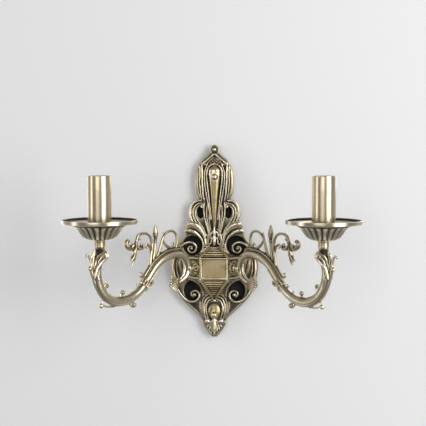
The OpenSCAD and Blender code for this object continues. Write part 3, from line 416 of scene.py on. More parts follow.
class Bench:
    """Modelling steps that the sub-assemblies share."""

    @staticmethod
    def deselect() -> None:
        """Deselects every object."""
        for piece in bpy.context.selected_objects:
            piece.select_set(False)

    @classmethod
    def focus(cls, piece: Piece) -> None:
        """Makes a piece the active one and the only one selected."""
        cls.deselect()
        piece.select_set(True)
        bpy.context.view_layer.objects.active = piece

    @staticmethod
    def edit() -> None:
        """Enters edit mode with everything selected."""
        bpy.ops.object.mode_set(mode="EDIT")
        bpy.ops.mesh.select_all(action="SELECT")

    @staticmethod
    def pick(kind: str) -> None:
        """Enters edit mode with only the marked elements of one kind selected."""
        mesh = bpy.context.object.data
        others = {"VERT": (mesh.edges, mesh.polygons), "EDGE": (mesh.vertices, mesh.polygons),
                  "FACE": (mesh.vertices, mesh.edges)}[kind]
        for group in others:
            group.foreach_set("select", [False] * len(group))
        bpy.context.tool_settings.mesh_select_mode = tuple(kind == k for k in ("VERT", "EDGE", "FACE"))
        bpy.ops.object.mode_set(mode="EDIT")

    @staticmethod
    def done() -> Piece:
        """Turns the normals outwards, leaves edit mode and returns the piece."""
        bpy.ops.mesh.select_mode(type="VERT")
        bpy.ops.mesh.select_all(action="SELECT")
        bpy.ops.mesh.normals_make_consistent(inside=False)
        bpy.ops.object.mode_set(mode="OBJECT")
        return bpy.context.object

    @classmethod
    def sweep(cls, rings: Sequence[Station], sides: int = 8, broad: float = 1.0,
              groove: Optional[Callable[[float], float]] = None) -> Piece:
        """A strand extruded ring by ring along a line in the drawing plane.

        Args:
            rings: the rings, first to last.
            sides: corners of each ring.
            broad: width across the drawing plane, as a share of the width in it.
            groove: the section's radius as a share, by the angle from the line's left side.

        Returns:
            The closed strand.
        """
        first = rings[0]
        cls.deselect()
        bpy.ops.mesh.primitive_circle_add(vertices=sides, radius=first.radius, fill_type="NGON",
                                          location=first.place,
                                          rotation=(0, math.pi / 2 - first.heading, 0))
        if groove:
            cls._carve(bpy.context.object, first, groove)
        cls.edit()
        if broad != 1.0:
            bpy.ops.transform.resize(value=(1, broad, 1), center_override=first.place)
        for before, here in zip(rings, rings[1:]):
            bpy.ops.mesh.extrude_region_move(TRANSFORM_OT_translate={"value": here.place - before.place})
            turn = here.heading - before.heading
            if abs(turn) > 1e-5:
                bpy.ops.transform.rotate(value=turn, orient_axis="Y", orient_type="GLOBAL",
                                         center_override=here.place)
            ratio = here.radius / before.radius
            if abs(ratio - 1) > 1e-4:
                bpy.ops.transform.resize(value=(ratio,) * 3, center_override=here.place)
        return cls.done()

    @staticmethod
    def _carve(piece: Piece, first: Station, groove: Callable[[float], float]) -> None:
        """Moves the corners of a strand's first ring in or out, by their angle."""
        mesh = piece.data
        left = Vector((-math.sin(first.heading), 0, math.cos(first.heading)))
        shares: dict[float, list[int]] = {}
        for vertex in mesh.vertices:
            spoke = piece.matrix_world @ vertex.co - first.place
            angle = math.degrees(math.atan2(spoke.y, spoke.dot(left)))
            shares.setdefault(round(groove(angle), 3), []).append(vertex.index)
        for share, members in shares.items():
            for group in (mesh.polygons, mesh.edges):
                group.foreach_set("select", [False] * len(group))
            for vertex in mesh.vertices:
                vertex.select = vertex.index in members
            bpy.ops.object.mode_set(mode="EDIT")
            bpy.ops.transform.resize(value=(share,) * 3, center_override=first.place)
            bpy.ops.object.mode_set(mode="OBJECT")

    @classmethod
    def strand(cls, points: Sequence[Point], radii: Sequence[float], y: Stops = 0.0, steps: int = 4,
               sides: int = 8, broad: float = 1.0) -> Piece:
        """A strand through points, closed to a rounded tip at both ends.

        Args:
            points: the line's points (x, z) in millimetres.
            radii: radius stops.
            y: depth, or stops of it.
            steps: rings between each two points.
            sides: corners of each ring.
            broad: width across the drawing plane, as a share of the width in it.

        Returns:
            The strand.
        """
        depths = [y, y] if isinstance(y, (int, float)) else list(y)
        rings = stations(points, radii, depths, steps)
        return cls.sweep([cls._tip(rings[0], -0.55)] + rings + [cls._tip(rings[-1], 0.55)], sides, broad)

    @staticmethod
    def _tip(ring: Station, ahead: float) -> Station:
        """A smaller ring just past a strand's end."""
        way = Vector((math.cos(ring.heading), 0, math.sin(ring.heading)))
        return Station(ring.place + way * ring.radius * ahead, ring.heading, ring.radius * 0.5)

    @classmethod
    def ball(cls, place: Sequence[float], radii: Sequence[float], segments: int = 24) -> Piece:
        """An egg or ball, by its centre and its radii along x, y and z in millimetres."""
        cls.deselect()
        bpy.ops.mesh.primitive_uv_sphere_add(segments=segments, ring_count=segments // 2, radius=1.0,
                                             location=[v * MM for v in place],
                                             scale=[v * MM for v in radii])
        return bpy.context.object

    @classmethod
    def box(cls, place: Sequence[float], size: Sequence[float]) -> Piece:
        """A box by its centre and size in millimetres."""
        cls.deselect()
        bpy.ops.mesh.primitive_cube_add(size=1, location=[v * MM for v in place],
                                        scale=[v * MM for v in size])
        piece = bpy.context.object
        cls.settle(piece)
        return piece

    @classmethod
    def rod(cls, radius: float, length: float, sides: int, place: Triple = (0, 0, 0),
            turn: Triple = (0, 0, 0)) -> Piece:
        """A cylinder in millimetres, along z unless it is turned."""
        cls.deselect()
        bpy.ops.mesh.primitive_cylinder_add(vertices=sides, radius=radius * MM, depth=length * MM,
                                            location=[v * MM for v in place], rotation=turn)
        return bpy.context.object

    @classmethod
    def turned(cls, profile: Sequence[Point], columns: int,
               lobes: Optional[Callable[[int, int], float]] = None) -> Piece:
        """A piece turned about the vertical axis, ring by ring.

        Args:
            profile: (radius, height) of each ring in millimetres, outwards and back.
            columns: corners of each ring.
            lobes: share of the radius for a ring's index and a column's index.

        Returns:
            The turned piece, standing on the world's origin.
        """
        cls.deselect()
        radius, height = profile[0]
        bpy.ops.mesh.primitive_circle_add(vertices=columns, radius=radius * MM, fill_type="NOTHING",
                                          location=(0, 0, height * MM))
        cls.edit()
        for (r0, z0), (r1, z1) in zip(profile, profile[1:]):
            bpy.ops.mesh.extrude_region_move(TRANSFORM_OT_translate={"value": (0, 0, (z1 - z0) * MM)})
            share = r1 / r0
            if abs(share - 1) > 1e-6:
                bpy.ops.transform.resize(value=(share, share, 1), center_override=(0, 0, z1 * MM))
        bpy.ops.object.mode_set(mode="OBJECT")
        last = columns * (len(profile) - 1)
        for edge in bpy.context.object.data.edges:
            edge.select = max(edge.vertices) < columns or min(edge.vertices) >= last
        cls.pick("EDGE")
        bpy.ops.mesh.bridge_edge_loops()
        piece = cls.done()
        if lobes:
            for vertex in piece.data.vertices:
                share = lobes(*divmod(vertex.index, columns))
                if share != 1.0:
                    vertex.co.x *= share
                    vertex.co.y *= share
        return piece

    @classmethod
    def settle(cls, piece: Piece) -> None:
        """Puts a piece's place, turn and scale into its mesh."""
        cls.focus(piece)
        bpy.ops.object.transform_apply(location=True, rotation=True, scale=True)

    @classmethod
    def join(cls, pieces: Sequence[Piece], name: str) -> Piece:
        """Joins pieces into one named object at the world's origin."""
        cls.deselect()
        for piece in pieces:
            piece.select_set(True)
        whole = bpy.context.view_layer.objects.active = pieces[0]
        bpy.ops.object.join()
        whole.name = whole.data.name = name
        cls.settle(whole)
        return whole

    @classmethod
    def modify(cls, piece: Piece, kind: str, **settings: object) -> None:
        """Adds a modifier of a kind with its settings, and applies it."""
        cls.focus(piece)
        modifier = piece.modifiers.new(kind.lower(), kind)
        for key, value in settings.items():
            setattr(modifier, key, value)
        bpy.ops.object.modifier_apply(modifier=modifier.name)

    @classmethod
    def cut(cls, piece: Piece, tool: Piece, how: str = "DIFFERENCE") -> None:
        """Cuts a piece with a tool, or adds the tool to it, and removes the tool."""
        cls.settle(piece)
        cls.modify(piece, "BOOLEAN", operation=how, solver="MANIFOLD", object=tool)
        bpy.data.objects.remove(tool)

    @classmethod
    def fuse(cls, pieces: Sequence[Piece], name: str, grain: float, rounds: int, most: int) -> Piece:
        """Fuses pieces into one casting with soft inner corners.

        Args:
            pieces: closed pieces that overlap.
            name: the casting's name.
            grain: size of its mesh in millimetres.
            rounds: rounds of smoothing.
            most: most triangles to keep.

        Returns:
            The casting.
        """
        whole = cls.join(pieces, name)
        cls.modify(whole, "REMESH", mode="VOXEL", voxel_size=grain * MM)
        cls.modify(whole, "SMOOTH", factor=0.5, iterations=rounds)
        triangles = sum(len(face.vertices) - 2 for face in whole.data.polygons)
        if triangles > most:
            cls.modify(whole, "DECIMATE", ratio=most / triangles)
            cls.modify(whole, "SMOOTH", factor=0.4, iterations=1)
        whole.data.polygons.foreach_set("use_smooth", [True] * len(whole.data.polygons))
        return whole

    @classmethod
    def soften(cls, piece: Piece, angle: float) -> None:
        """Shades a piece smooth up to an angle between its faces, in degrees."""
        cls.focus(piece)
        bpy.ops.object.shade_smooth_by_angle(angle=math.radians(angle))

    @classmethod
    def twin(cls, piece: Piece, name: str) -> Piece:
        """A mirror image on the lamp's other side, with its own name and mesh."""
        other = piece.copy()
        other.data = piece.data.copy()
        other.name = other.data.name = name
        bpy.context.scene.collection.objects.link(other)
        other.scale = (-1, 1, 1)
        cls.settle(other)
        cls.edit()
        cls.done()
        return other

    @classmethod
    def place(cls, piece: Piece, matrix: Matrix) -> None:
        """Moves a piece that lies at the world's origin to its seat."""
        piece.matrix_world = matrix
        cls.settle(piece)


@dataclass(frozen=True)
class PatinaAndShade:
    """How bright a casting's surface is, from its ridges and hollows: rubbing, dark patina, and painted shade
    in its deep hollows.

    Smoothing for a few rounds (fine) finds small ridges, and for many (broad) large ones; the broad hollows
    get painted shade on top of their patina.
    What stands far from the wall can be rubbed more, and a raw back has one value. A painted shade spot is a
    place on the right side, the radius that stays dark round it, and the share of the value it keeps. A seat
    marks the fluted pan, whose cup lies between two radii and gets painted shade in its flute hollows and
    painted highlight on their ridges.
    """

    fine: int = 5
    broad: int = 50
    share: float = 0.4
    height: float = 0.0
    low: float = -3.0
    high: float = -14.0
    lift: float = 0.0
    blur: int = 3
    most: float = 1.0
    painted_shade_spots: Sequence[tuple[Vector, float, float]] = ()
    raw: float = 0.0
    seat: Optional[Matrix] = None
    flutes: int = 20
    cup: Point = (12.0, 30.0)
    cup_fade: float = 3.0
    flute_wear: float = 0.27
    ridge_wear: float = 0.66
    rim_wear: float = 0.46

    def apply(self, piece: Piece) -> None:
        """Writes the wear attribute of a finished mesh, 0 in hollows and 1 on ridges, with painted shade in
        the deep hollows.
        """
        mesh = piece.data
        count = len(mesh.vertices)
        co = self._read(mesh.vertices, "co", 3, np.float64)
        normals = self._read(mesh.vertex_normals, "vector", 3, np.float64)
        a, b = self._read(mesh.edges, "vertices", 2, np.int64).T
        ends, starts = np.concatenate([a, b]), np.concatenate([b, a])
        degree = np.maximum(np.bincount(ends, minlength=count), 1)[:, None]
        soft = co.copy()
        marks = {}
        for turn in range(1, self.broad + 1):
            near = np.stack([np.bincount(ends, soft[starts, k], count) for k in range(3)], 1) / degree
            soft = 0.5 * (soft + near)
            if turn in (self.fine, self.broad):
                marks[turn] = self._even(((co - soft) * normals).sum(1))
        # The broad term paints shade into large hollows; the fine one marks patina and rubbing.
        wear = self.share * marks[self.fine] + (1 - self.share) * marks[self.broad]
        if self.height:
            level = np.clip((co[:, 1] / MM - self.low) / (self.high - self.low), 0, 1)
            wear = (1 - self.height) * wear + self.height * level
        for _ in range(self.blur):
            wear = 0.5 * (wear + np.bincount(ends, wear[starts], count) / degree[:, 0])
        wear = np.clip(wear + self.lift, 0, self.most)
        if self.raw:
            facing = np.clip((normals[:, 1] - 0.1) / 0.5, 0, 1)
            wear += facing * (self.raw - wear)
        right = np.abs(co * (1, 0, 0)) + co * (0, 1, 1)
        # Painted shade: spots darkened round given places.
        for middle, reach, kept in self.painted_shade_spots:
            away = np.linalg.norm(right - np.array(middle), axis=1)
            wear *= kept + (1 - kept) * np.clip((away / reach - 0.5) / 0.5, 0, 1)
        # The pan's cup gets painted shade and painted highlight by its flutes.
        if self.seat:
            self._paint_cup_shade(wear, right, np.clip(-normals[:, 2] / 0.2, 0, 1))
        made = mesh.attributes.new("wear", "FLOAT", "POINT")
        made.data.foreach_set("value", wear.astype(np.float32))

    def _paint_cup_shade(self, wear: np.ndarray, right: np.ndarray, down: np.ndarray) -> None:
        """Paints shade into the flute hollows and highlights onto the ridges of the underside of a pan's cup,
        and lifts the value on the underside of its rim.

        Args:
            wear: the value so far, which is changed.
            right: the mesh's points, all brought to the right side.
            down: how far each of them faces down, from 0 to 1.
        """
        turned = np.array(self.seat.inverted())
        x, y = turned[:2, :3] @ right.T + turned[:2, 3:]
        inner, outer = self.cup
        radius = np.hypot(x, y) / MM
        ridge = 0.5 - 0.5 * np.cos(self.flutes * np.arctan2(y, x))
        beyond = np.clip((radius - outer) / self.cup_fade, 0, 1)
        on_cup = (np.clip((radius - inner) / self.cup_fade, 0, 1)
                  * np.clip((outer - radius) / self.cup_fade, 0, 1))
        wear += down * on_cup * (self.flute_wear + self.ridge_wear * ridge ** 0.9 - wear)
        wear += down * beyond * np.clip(self.rim_wear - wear, 0, 1)

    @staticmethod
    def _read(source: bpy.types.bpy_prop_collection, name: str, width: int, kind: type) -> np.ndarray:
        """One property of a mesh's elements, with a row for each of them."""
        values = np.empty(len(source) * width, kind)
        source.foreach_get(name, values)
        return values.reshape(-1, width)

    @staticmethod
    def _even(values: np.ndarray) -> np.ndarray:
        """Values brought to 0 to 1, with the piece's usual surface at a half."""
        values = values - np.median(values)
        reach = max(float(np.percentile(np.abs(values), 88)), 1e-9)
        return np.clip(0.5 + 0.5 * values / reach, 0, 1)


# --------------------------------------------------------------------------- sub-assemblies


@dataclass
class Lamp:
    """Sizes that the sub-assemblies share, in millimetres."""

    facet_x: float = 25.692
    facet_y: float = 30.808
    candle: float = 142.582
    ring_z: float = 36.68
    pan_z: float = 44.38
    sleeve_z: float = 46.28
    sleeve_h: float = 71.0

    def facet(self) -> Matrix:
        """Seat of the right arm: its drawing plane's origin on the block's side face."""
        turn = Matrix.Rotation(-math.pi / 4, 4, "Z")
        return Matrix.Translation((self.facet_x * MM, -self.facet_y * MM, 0)) @ turn

    def candle_seat(self, height: float) -> Matrix:
        """A seat on the right candle's axis at a height."""
        return self.facet() @ Matrix.Translation((self.candle * MM, 0, height * MM))


@dataclass
class Assembly:
    """What every sub-assembly knows and how it hands its pieces over."""

    lamp: Lamp
    palette: Palette
    made: list[Piece] = field(default_factory=list)

    def strand(self, points: Sequence[Point], radii: Sequence[float], y: Stops = 0.0, steps: int = 3,
               broad: float = 1.0) -> None:
        """Adds a strand of the ornament."""
        self.made.append(Bench.strand(points, radii, y, steps, 8, broad))

    def balls(self, *balls: Triple) -> None:
        """Adds balls in the drawing plane, each given as x, z and radius."""
        for x, z, radius in balls:
            self.made.append(Bench.ball((x, 0, z), (radius,) * 3))

    def hand_over(self, piece: Piece, slot: Slot, nodes: Sequence[str], body: str = "lamp",
                  look: Optional[bpy.types.Material] = None) -> None:
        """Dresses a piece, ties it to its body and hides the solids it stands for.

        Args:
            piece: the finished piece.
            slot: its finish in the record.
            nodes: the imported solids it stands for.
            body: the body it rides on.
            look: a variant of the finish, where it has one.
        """
        self.palette.dress(piece, slot)
        if look:
            piece.data.materials[0] = look
        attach(piece, body)
        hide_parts(*nodes)
        LOG.info("%s: %d faces", piece.name, len(piece.data.polygons))

    def hand_pair(self, right: Piece, slot: Slot, node: str, patina_and_shade: Optional[PatinaAndShade] = None,
                  body: str = "lamp") -> None:
        """Hands over a right piece and its twin.

        Args:
            right: the finished right piece, named NODE_dress_right.
            slot: its finish.
            node: the solids' name without their side.
            patina_and_shade: how the piece is rubbed, with its patina and painted shade, if it is.
            body: the body, or its name without its side where it ends in an underscore.
        """
        left = Bench.twin(right, right.name.replace("_right", "_left"))
        for side, piece in (("right", right), ("left", left)):
            if patina_and_shade:
                patina_and_shade.apply(piece)
            self.hand_over(piece, slot, [f"{node}_{side}"], body + side if body.endswith("_") else body)


@dataclass
class BackPlate(Assembly):
    """The tall cast plate with its relief."""

    front: float = 9.0
    shell: float = 2.5
    finial_z: float = 147.0
    grain: float = 0.5
    nuts: Sequence[float] = (112.0, -61.0)
    nut_bore: float = 2.8
    screws: Point = (29.985, 9.7)
    screw_bore: float = 1.8
    window: Triple = (44.0, 40.0, 20.0)
    basins: Sequence[tuple[Point, Point]] = (((27.5, 25.8), (12.2, 12.6)), ((28.2, -31), (10.6, 13)),
                                             ((17.4, 67.4), (4.7, 7.8)))
    basin_wall: float = 1.2
    basin_back: Point = (-6.4, 5.4)
    basin_dish: Point = (-9.4, 6.8)
    rounding: float = 1.2
    triangles: int = 198000
    edge: Sequence[Point] = ((4, 144.4), (6, 141), (12.5, 135.5), (17.5, 131), (22.6, 119), (23.8, 106),
                             (23, 93), (19.8, 83.5), (27.2, 79.5), (31.4, 72), (32.2, 64), (30.7, 56.5),
                             (34.5, 49.5), (37, 40), (41, 32.5), (48, 22), (54, 6), (54, -8), (50.5, -25),
                             (46, -35), (36, -47), (19.6, -62.5), (14.6, -69), (14.3, -74), (8.1, -83.5),
                             (1.5, -89.5))

    def outline(self, inset: float) -> list[Point]:
        """Points round the plate, an inset inside its edge."""
        line = np.array(smooth(self.edge, 4))
        ahead = np.gradient(line, axis=0)
        ahead /= np.linalg.norm(ahead, axis=1)[:, None]
        inner = line + inset * np.column_stack([ahead[:, 1], -ahead[:, 0]])
        half = [(float(x), float(z)) for x, z in inner if x > inset * 0.8]
        return half + flip(half[::-1])

    def slab(self, inset: float, back: float, front: float, bevel: float) -> Piece:
        """A slab with the plate's outline.

        Args:
            inset: how far its edge stays inside the outline.
            back: y of its back.
            front: y of its front.
            bevel: radius of its rounded edges.

        Returns:
            The slab.
        """
        points = self.outline(inset + bevel)
        curve = bpy.data.curves.new("outline", "CURVE")
        curve.dimensions = "2D"
        curve.fill_mode = "BOTH"
        curve.extrude = (back - front) / 2 * MM - bevel * MM
        curve.bevel_depth = bevel * MM
        curve.bevel_resolution = 2
        line = curve.splines.new("POLY")
        line.points.add(len(points) - 1)
        for place, (x, z) in zip(line.points, points):
            place.co = (x * MM, z * MM, 0, 1)
        line.use_cyclic_u = True
        piece = bpy.data.objects.new("slab", curve)
        bpy.context.scene.collection.objects.link(piece)
        piece.rotation_euler = (math.pi / 2, 0, 0)
        piece.location.y = (back + front) / 2 * MM
        Bench.focus(piece)
        bpy.ops.object.convert(target="MESH")
        slab = bpy.context.object
        Bench.edit()
        bpy.ops.mesh.remove_doubles(threshold=0.00001)
        Bench.done()
        Bench.settle(slab)
        return slab

    def band(self, points: Sequence[Point], radii: Sequence[float], height: Stops = 10.0,
             steps: int = 4, broad: float = 1.0, both: bool = True) -> None:
        """A raised strand on the plate.

        Args:
            points: its line (x, z), on the right.
            radii: its radius stops.
            height: height of its middle over the wall, or stops of it.
            steps: rings between each two points.
            broad: its depth as a share of its width.
            both: whether it is made on the left too.
        """
        y = -height if isinstance(height, (int, float)) else [-h for h in height]
        for side in (points, flip(points)) if both else (points,):
            self.strand(side, radii, y, steps, broad)

    def bead(self, x: float, z: float, radius: Stops, height: float, both: bool = True) -> None:
        """A bead on the plate, on both sides or in the middle."""
        radii = (radius,) * 3 if isinstance(radius, (int, float)) else radius
        for side in (x, -x) if both and x else (x,):
            self.made.append(Bench.ball((side, -height, z), radii))

    def body(self) -> Piece:
        """The shell with its hollow back and its deep basins, before the relief is added."""
        shell = self.slab(0, 0.0, -self.front, self.rounding)
        Bench.cut(shell, self.slab(self.shell, 3.0, -self.front + self.shell, 0.3))
        for (y, deep), wall, how in ((self.basin_back, self.basin_wall, "UNION"),
                                     (self.basin_dish, 0, "DIFFERENCE")):
            for (x, z), (rx, rz) in self.basins:
                for side in (x, -x):
                    Bench.cut(shell, Bench.ball((side, y, z), (rx + wall, deep, rz + wall), 40), how)
        return shell

    def openings(self, plate: Piece) -> None:
        """Cuts the opening behind the block and the holes of studs and screws."""
        Bench.cut(plate, Bench.box((0, -10, 0), self.window))
        for z in self.nuts:
            self.drill(plate, 0, z, self.nut_bore)
        x, z = self.screws
        for place in ((-x, -z), (-x, z), (x, -z), (x, z)):
            self.drill(plate, *place, self.screw_bore)

    @staticmethod
    def drill(piece: Piece, x: float, z: float, radius: float) -> None:
        """Drills a hole from front to back."""
        tool = Bench.rod(radius, 60, 32, (x, 0, z), (math.pi / 2, 0, 0))
        Bench.settle(tool)
        Bench.cut(piece, tool)

    def polished(self) -> None:
        """The smooth drop and oval that stand proud of the ribs and carry the dome nuts."""
        drop = Bench.strand([(0, 46), (0, 58), (0, 72), (0, 86), (0, 98), (0, 108), (0, 115), (0, 120.4),
                             (0, 124.4)],
                            [0.8, 2.0, 2.9, 3.9, 5.1, 6.4, 7.4, 6.9, 3.4], -10.6, 6, 32, 0.51)
        oval = Bench.ball((0, -9.3, -57), (8.2, 3.8, 9.9), 48)
        for piece, name, z in ((drop, "drop_dress", self.nuts[0]), (oval, "oval_dress", self.nuts[1])):
            self.drill(piece, 0, z, self.nut_bore)
            piece.name = piece.data.name = name
            Bench.soften(piece, 50)
            PatinaAndShade(3, 12, 0.3, lift=0.06).apply(piece)
            self.hand_over(piece, Slot.PLATE, ["back_plate"], look=self.palette.gold)

    def rim(self) -> None:
        """The rolled edge round the plate and the finial."""
        self.band([(x - 1.3 if x > 6 else x, z) for x, z in self.edge], [1.5, 1.5], 8.2)
        self.band([(3.2, 139.6), (4.9, 143.4), (5, 146.6), (3.6, 149), (1.6, 150.4), (0, 150.8)],
                  [1.3, 1.4, 1.4, 1.3, 1.2], 8.4, 4)
        self.bead(0, self.finial_z - 1.2, (2.9, 2.8, 2.9), 9.4, False)
        self.bead(0, self.finial_z - 0.6, (4.8, 4.6, 4.8), 4.7, False)

    def crown(self) -> None:
        """Ribs, arch, drop and pediment of the tall upper part."""
        self.band([(16.2, 130), (15.6, 122), (15.2, 114), (15.3, 106), (14.7, 98), (14.2, 90), (12.6, 82)],
                  [0.7, 1.3, 1.35, 1.2, 1.25, 1.1, 0.8], 10.6)
        self.band([(18.6, 126), (18.4, 119), (18.3, 112), (18.6, 105), (17.9, 98), (17.3, 91), (15.8, 84)],
                  [0.6, 1.0, 1.15, 1.0, 1.05, 0.9, 0.7], 10.1)
        self.band([(20.7, 119), (21.1, 112), (21.4, 104), (20.7, 96), (19.7, 90), (18.2, 86)],
                  [0.5, 0.8, 0.9, 0.8, 0.8, 0.6], 9.5)
        self.band([(3.4, 58), (5.2, 72), (7.4, 90), (9.2, 106), (9.4, 118), (6.3, 125.4), (0, 128.4)],
                  [0.6, 0.75, 0.9, 1.0, 1.1, 1.15, 1.15], [10, 11.2])
        self.band([(4.8, 58), (7.5, 74), (9.9, 88), (11.8, 100), (12.3, 110), (12, 119), (8.8, 127.6)],
                  [0.5, 0.75, 0.8, 0.8, 0.8, 0.8, 0.7], 10.4)
        self.band([(0.6, 140.4), (7.6, 134.2), (15.4, 127.6)], [1.4, 1.5, 1.3], 10.6)
        self.band([(1.2, 135.8), (6.6, 131), (12, 126)], [0.7, 0.7], 10.0)
        for x, z in ((0, 133), (2.4, 131), (0, 129.4), (4.6, 129)):
            self.bead(x, z, 1.0, 9.6)
        self.band([(13.6, 131), (12.2, 128.6), (13.2, 126.4), (15, 127.2)], [1.0, 0.9, 0.8, 0.8], 10.4)

    def ears(self) -> None:
        """Scrolls beside the drop, and the long strands beside its tail."""
        self.band([(16.6, 82.4), (23.4, 81.4), (28.4, 76.2), (30.2, 68.6), (29.6, 61), (26.4, 54.6),
                   (21, 51)], [1.3, 1.7, 1.8, 1.8, 1.7, 1.5, 1.0], 11.0)
        self.band([(15.4, 79), (21, 78.2), (25.6, 73), (26.8, 66), (25.2, 59), (21, 53), (15, 46)],
                  [0.9, 1.0, 1.1, 1.1, 1.0, 0.9, 0.6], 11.2)
        self.band([(19.8, 75.4), (23, 71.6), (23.8, 66), (22.4, 60), (18.6, 54), (13.4, 46.6), (10.4, 38)],
                  [0.8, 0.9, 1.0, 0.9, 0.9, 0.8, 0.5], 10.8)
        self.band(spiral((15.6, 75), 2.6, 0.7, 80, 1.0, 9), [1.0, 1.0, 0.9], 10.8, 2)
        self.band([(12.4, 80), (13.2, 72), (12.6, 63), (10.4, 53), (7.6, 42), (6.4, 33)],
                  [0.7, 1.0, 1.0, 0.9, 0.8, 0.5], 10.6)
        self.band([(9.2, 76), (9.8, 66), (8.6, 55), (6.2, 44), (5, 35)], [0.6, 0.9, 0.8, 0.7, 0.5], 10.2)
        self.band([(6.2, 68), (6.6, 60), (5.4, 50), (3.8, 41)], [0.5, 0.8, 0.7, 0.4], 10.0)

    def rolls(self) -> None:
        """The leaf rolls over the upper volutes, and the bud between them."""
        self.band([(32.4, 52.6), (27.6, 53), (21.2, 50.2), (15.4, 43), (11.4, 33.6), (10.2, 25)],
                  [3.0, 3.7, 3.2, 2.1, 1.4, 0.9], [10.6, 11.0, 10.4])
        self.band([(35.2, 44.4), (30.6, 44.8), (24.6, 42.4), (18.4, 37), (14.4, 30.4), (12.8, 22)],
                  [2.4, 3.2, 2.6, 1.7, 1.1, 0.7], [10.0, 10.6, 9.8])
        self.band([(34.8, 48.6), (27.6, 48.7), (20, 45), (14, 38), (11.4, 28)], [0.5, 0.6, 0.6, 0.6, 0.5],
                  11.8)
        self.band([(9.6, 40), (8.6, 34), (8.4, 27)], [0.5, 0.9, 0.6], 10.2)
        self.bead(34.2, 51, (2.2, 1.8, 1.8), 10.6)
        self.bead(36, 44, (1.9, 1.7, 1.7), 10.0)
        self.band([(0, 50), (0, 46), (0, 42), (0, 39.4)], [0.5, 1.3, 2.2, 1.5], 12.6, 4, 0.9, False)
        self.band([(0, 39.4), (0, 35), (0, 30), (0, 26)], [1.5, 2.2, 2.0, 0.8], 12.4, 4, 0.85, False)
        self.band([(0.8, 45), (3, 42.6), (4.8, 39), (4.4, 34.6)], [0.7, 1.2, 1.2, 0.5], 11.6)
        self.band([(1.6, 37), (3.6, 33.6), (4.2, 29.4), (6.4, 26.6)], [0.8, 1.0, 0.9, 0.5], 11.2)
        self.band([(2.6, 47), (6.6, 43), (8, 36), (7.4, 29)], [0.5, 0.8, 0.8, 0.5], 10.6)
        self.bead(0, 40, (2.0, 1.4, 1.0), 13.0, False)

    def volutes(self) -> None:
        """The scrolls in their basins, their rings and their ladders of ribs."""
        self.band([(49.8, 9), (47.2, 17), (43.2, 23.4), (37.8, 27.8), (31.8, 30), (26.4, 28.8), (22.9, 24.6),
                   (23.4, 19.6), (27.2, 16.8), (31.4, 17.9), (33, 21.6), (30.8, 24.6), (28, 23.8)],
                  [1.2, 1.6, 1.7, 1.7, 1.7, 1.6, 1.5, 1.4, 1.3, 1.3, 1.2, 1.1, 1.0],
                  [9.8, 10.4, 10.2, 9.6, 9.0, 8.6], 3)
        self.bead(28.8, 21.8, 2.0, 8.4)
        self.band(arc((27.5, 25.8), 13.6, 128, 292, 12), [0.8, 1.2, 1.2, 1.2, 0.9], 10.4, 2)
        self.band([(7, 26.6), (12, 20), (18.6, 14), (27, 10.4), (36, 9.6)], [0.8, 1.2, 1.2, 1.1, 0.8],
                  [10.4, 12.4], 3)
        for k in range(9):
            foot, top = polar((27.5, 25.8), 14.8, 176 + 10 * k), polar((27.5, 28.4), 20.4, 180 + 9.4 * k)
            self.band([foot, top], [0.85, 0.85], 11.3, 1)
        self.band([(50.6, 9), (51.6, 1), (51.2, -8), (48.8, -18), (46.4, -25)], [1.2, 1.8, 1.8, 1.7, 1.2],
                  9.8)
        self.band([(46.8, 8), (47.6, 0), (46.8, -9), (44.4, -18)], [0.6, 0.9, 0.9, 0.6], 9.6)
        self.band([(44, 12), (43.6, 3), (41.6, -6), (38.6, -13)], [0.6, 2.4, 2.2, 0.8], 8.6, 4, 0.8)
        self.band([(40, 9), (38.8, 2), (37, -5)], [0.5, 0.9, 0.5], 9.2)
        self.band([(49.2, -18), (46.8, -27.6), (42.6, -35.6), (37, -41.8), (30.4, -45.2), (24, -44.6),
                   (19.6, -40.4), (19.4, -35), (23, -31.6), (27.8, -32.6), (29.4, -36.6), (26.8, -39.6)],
                  [1.2, 1.7, 1.8, 1.8, 1.7, 1.6, 1.5, 1.4, 1.3, 1.2, 1.1, 1.0],
                  [9.8, 10.4, 10.2, 9.8, 9.4, 9.0], 3)
        self.bead(25, -36.6, 2.5, 9.2)
        self.band([(37.4, -15.6), (30.6, -17), (23, -20.4), (17.2, -26.4), (14.6, -33.4), (14.6, -39)],
                  [0.7, 1.0, 1.1, 1.1, 1.0, 0.7], 10.0)
        for k in range(9):
            z = -15.8 - 2.5 * k
            inner = 19.5 * (1 + (z + 13.3) / 26) * 0.9 + 1.6
            outer = float(np.interp(-z, [16, 18, 21, 25, 30, 37], [31, 26.5, 21.6, 17.6, 15, 13.8])) - 1
            if outer - inner > 2:
                self.band([(inner, z), (outer, z - 0.8)], [0.65, 0.65], 9.8, 1)

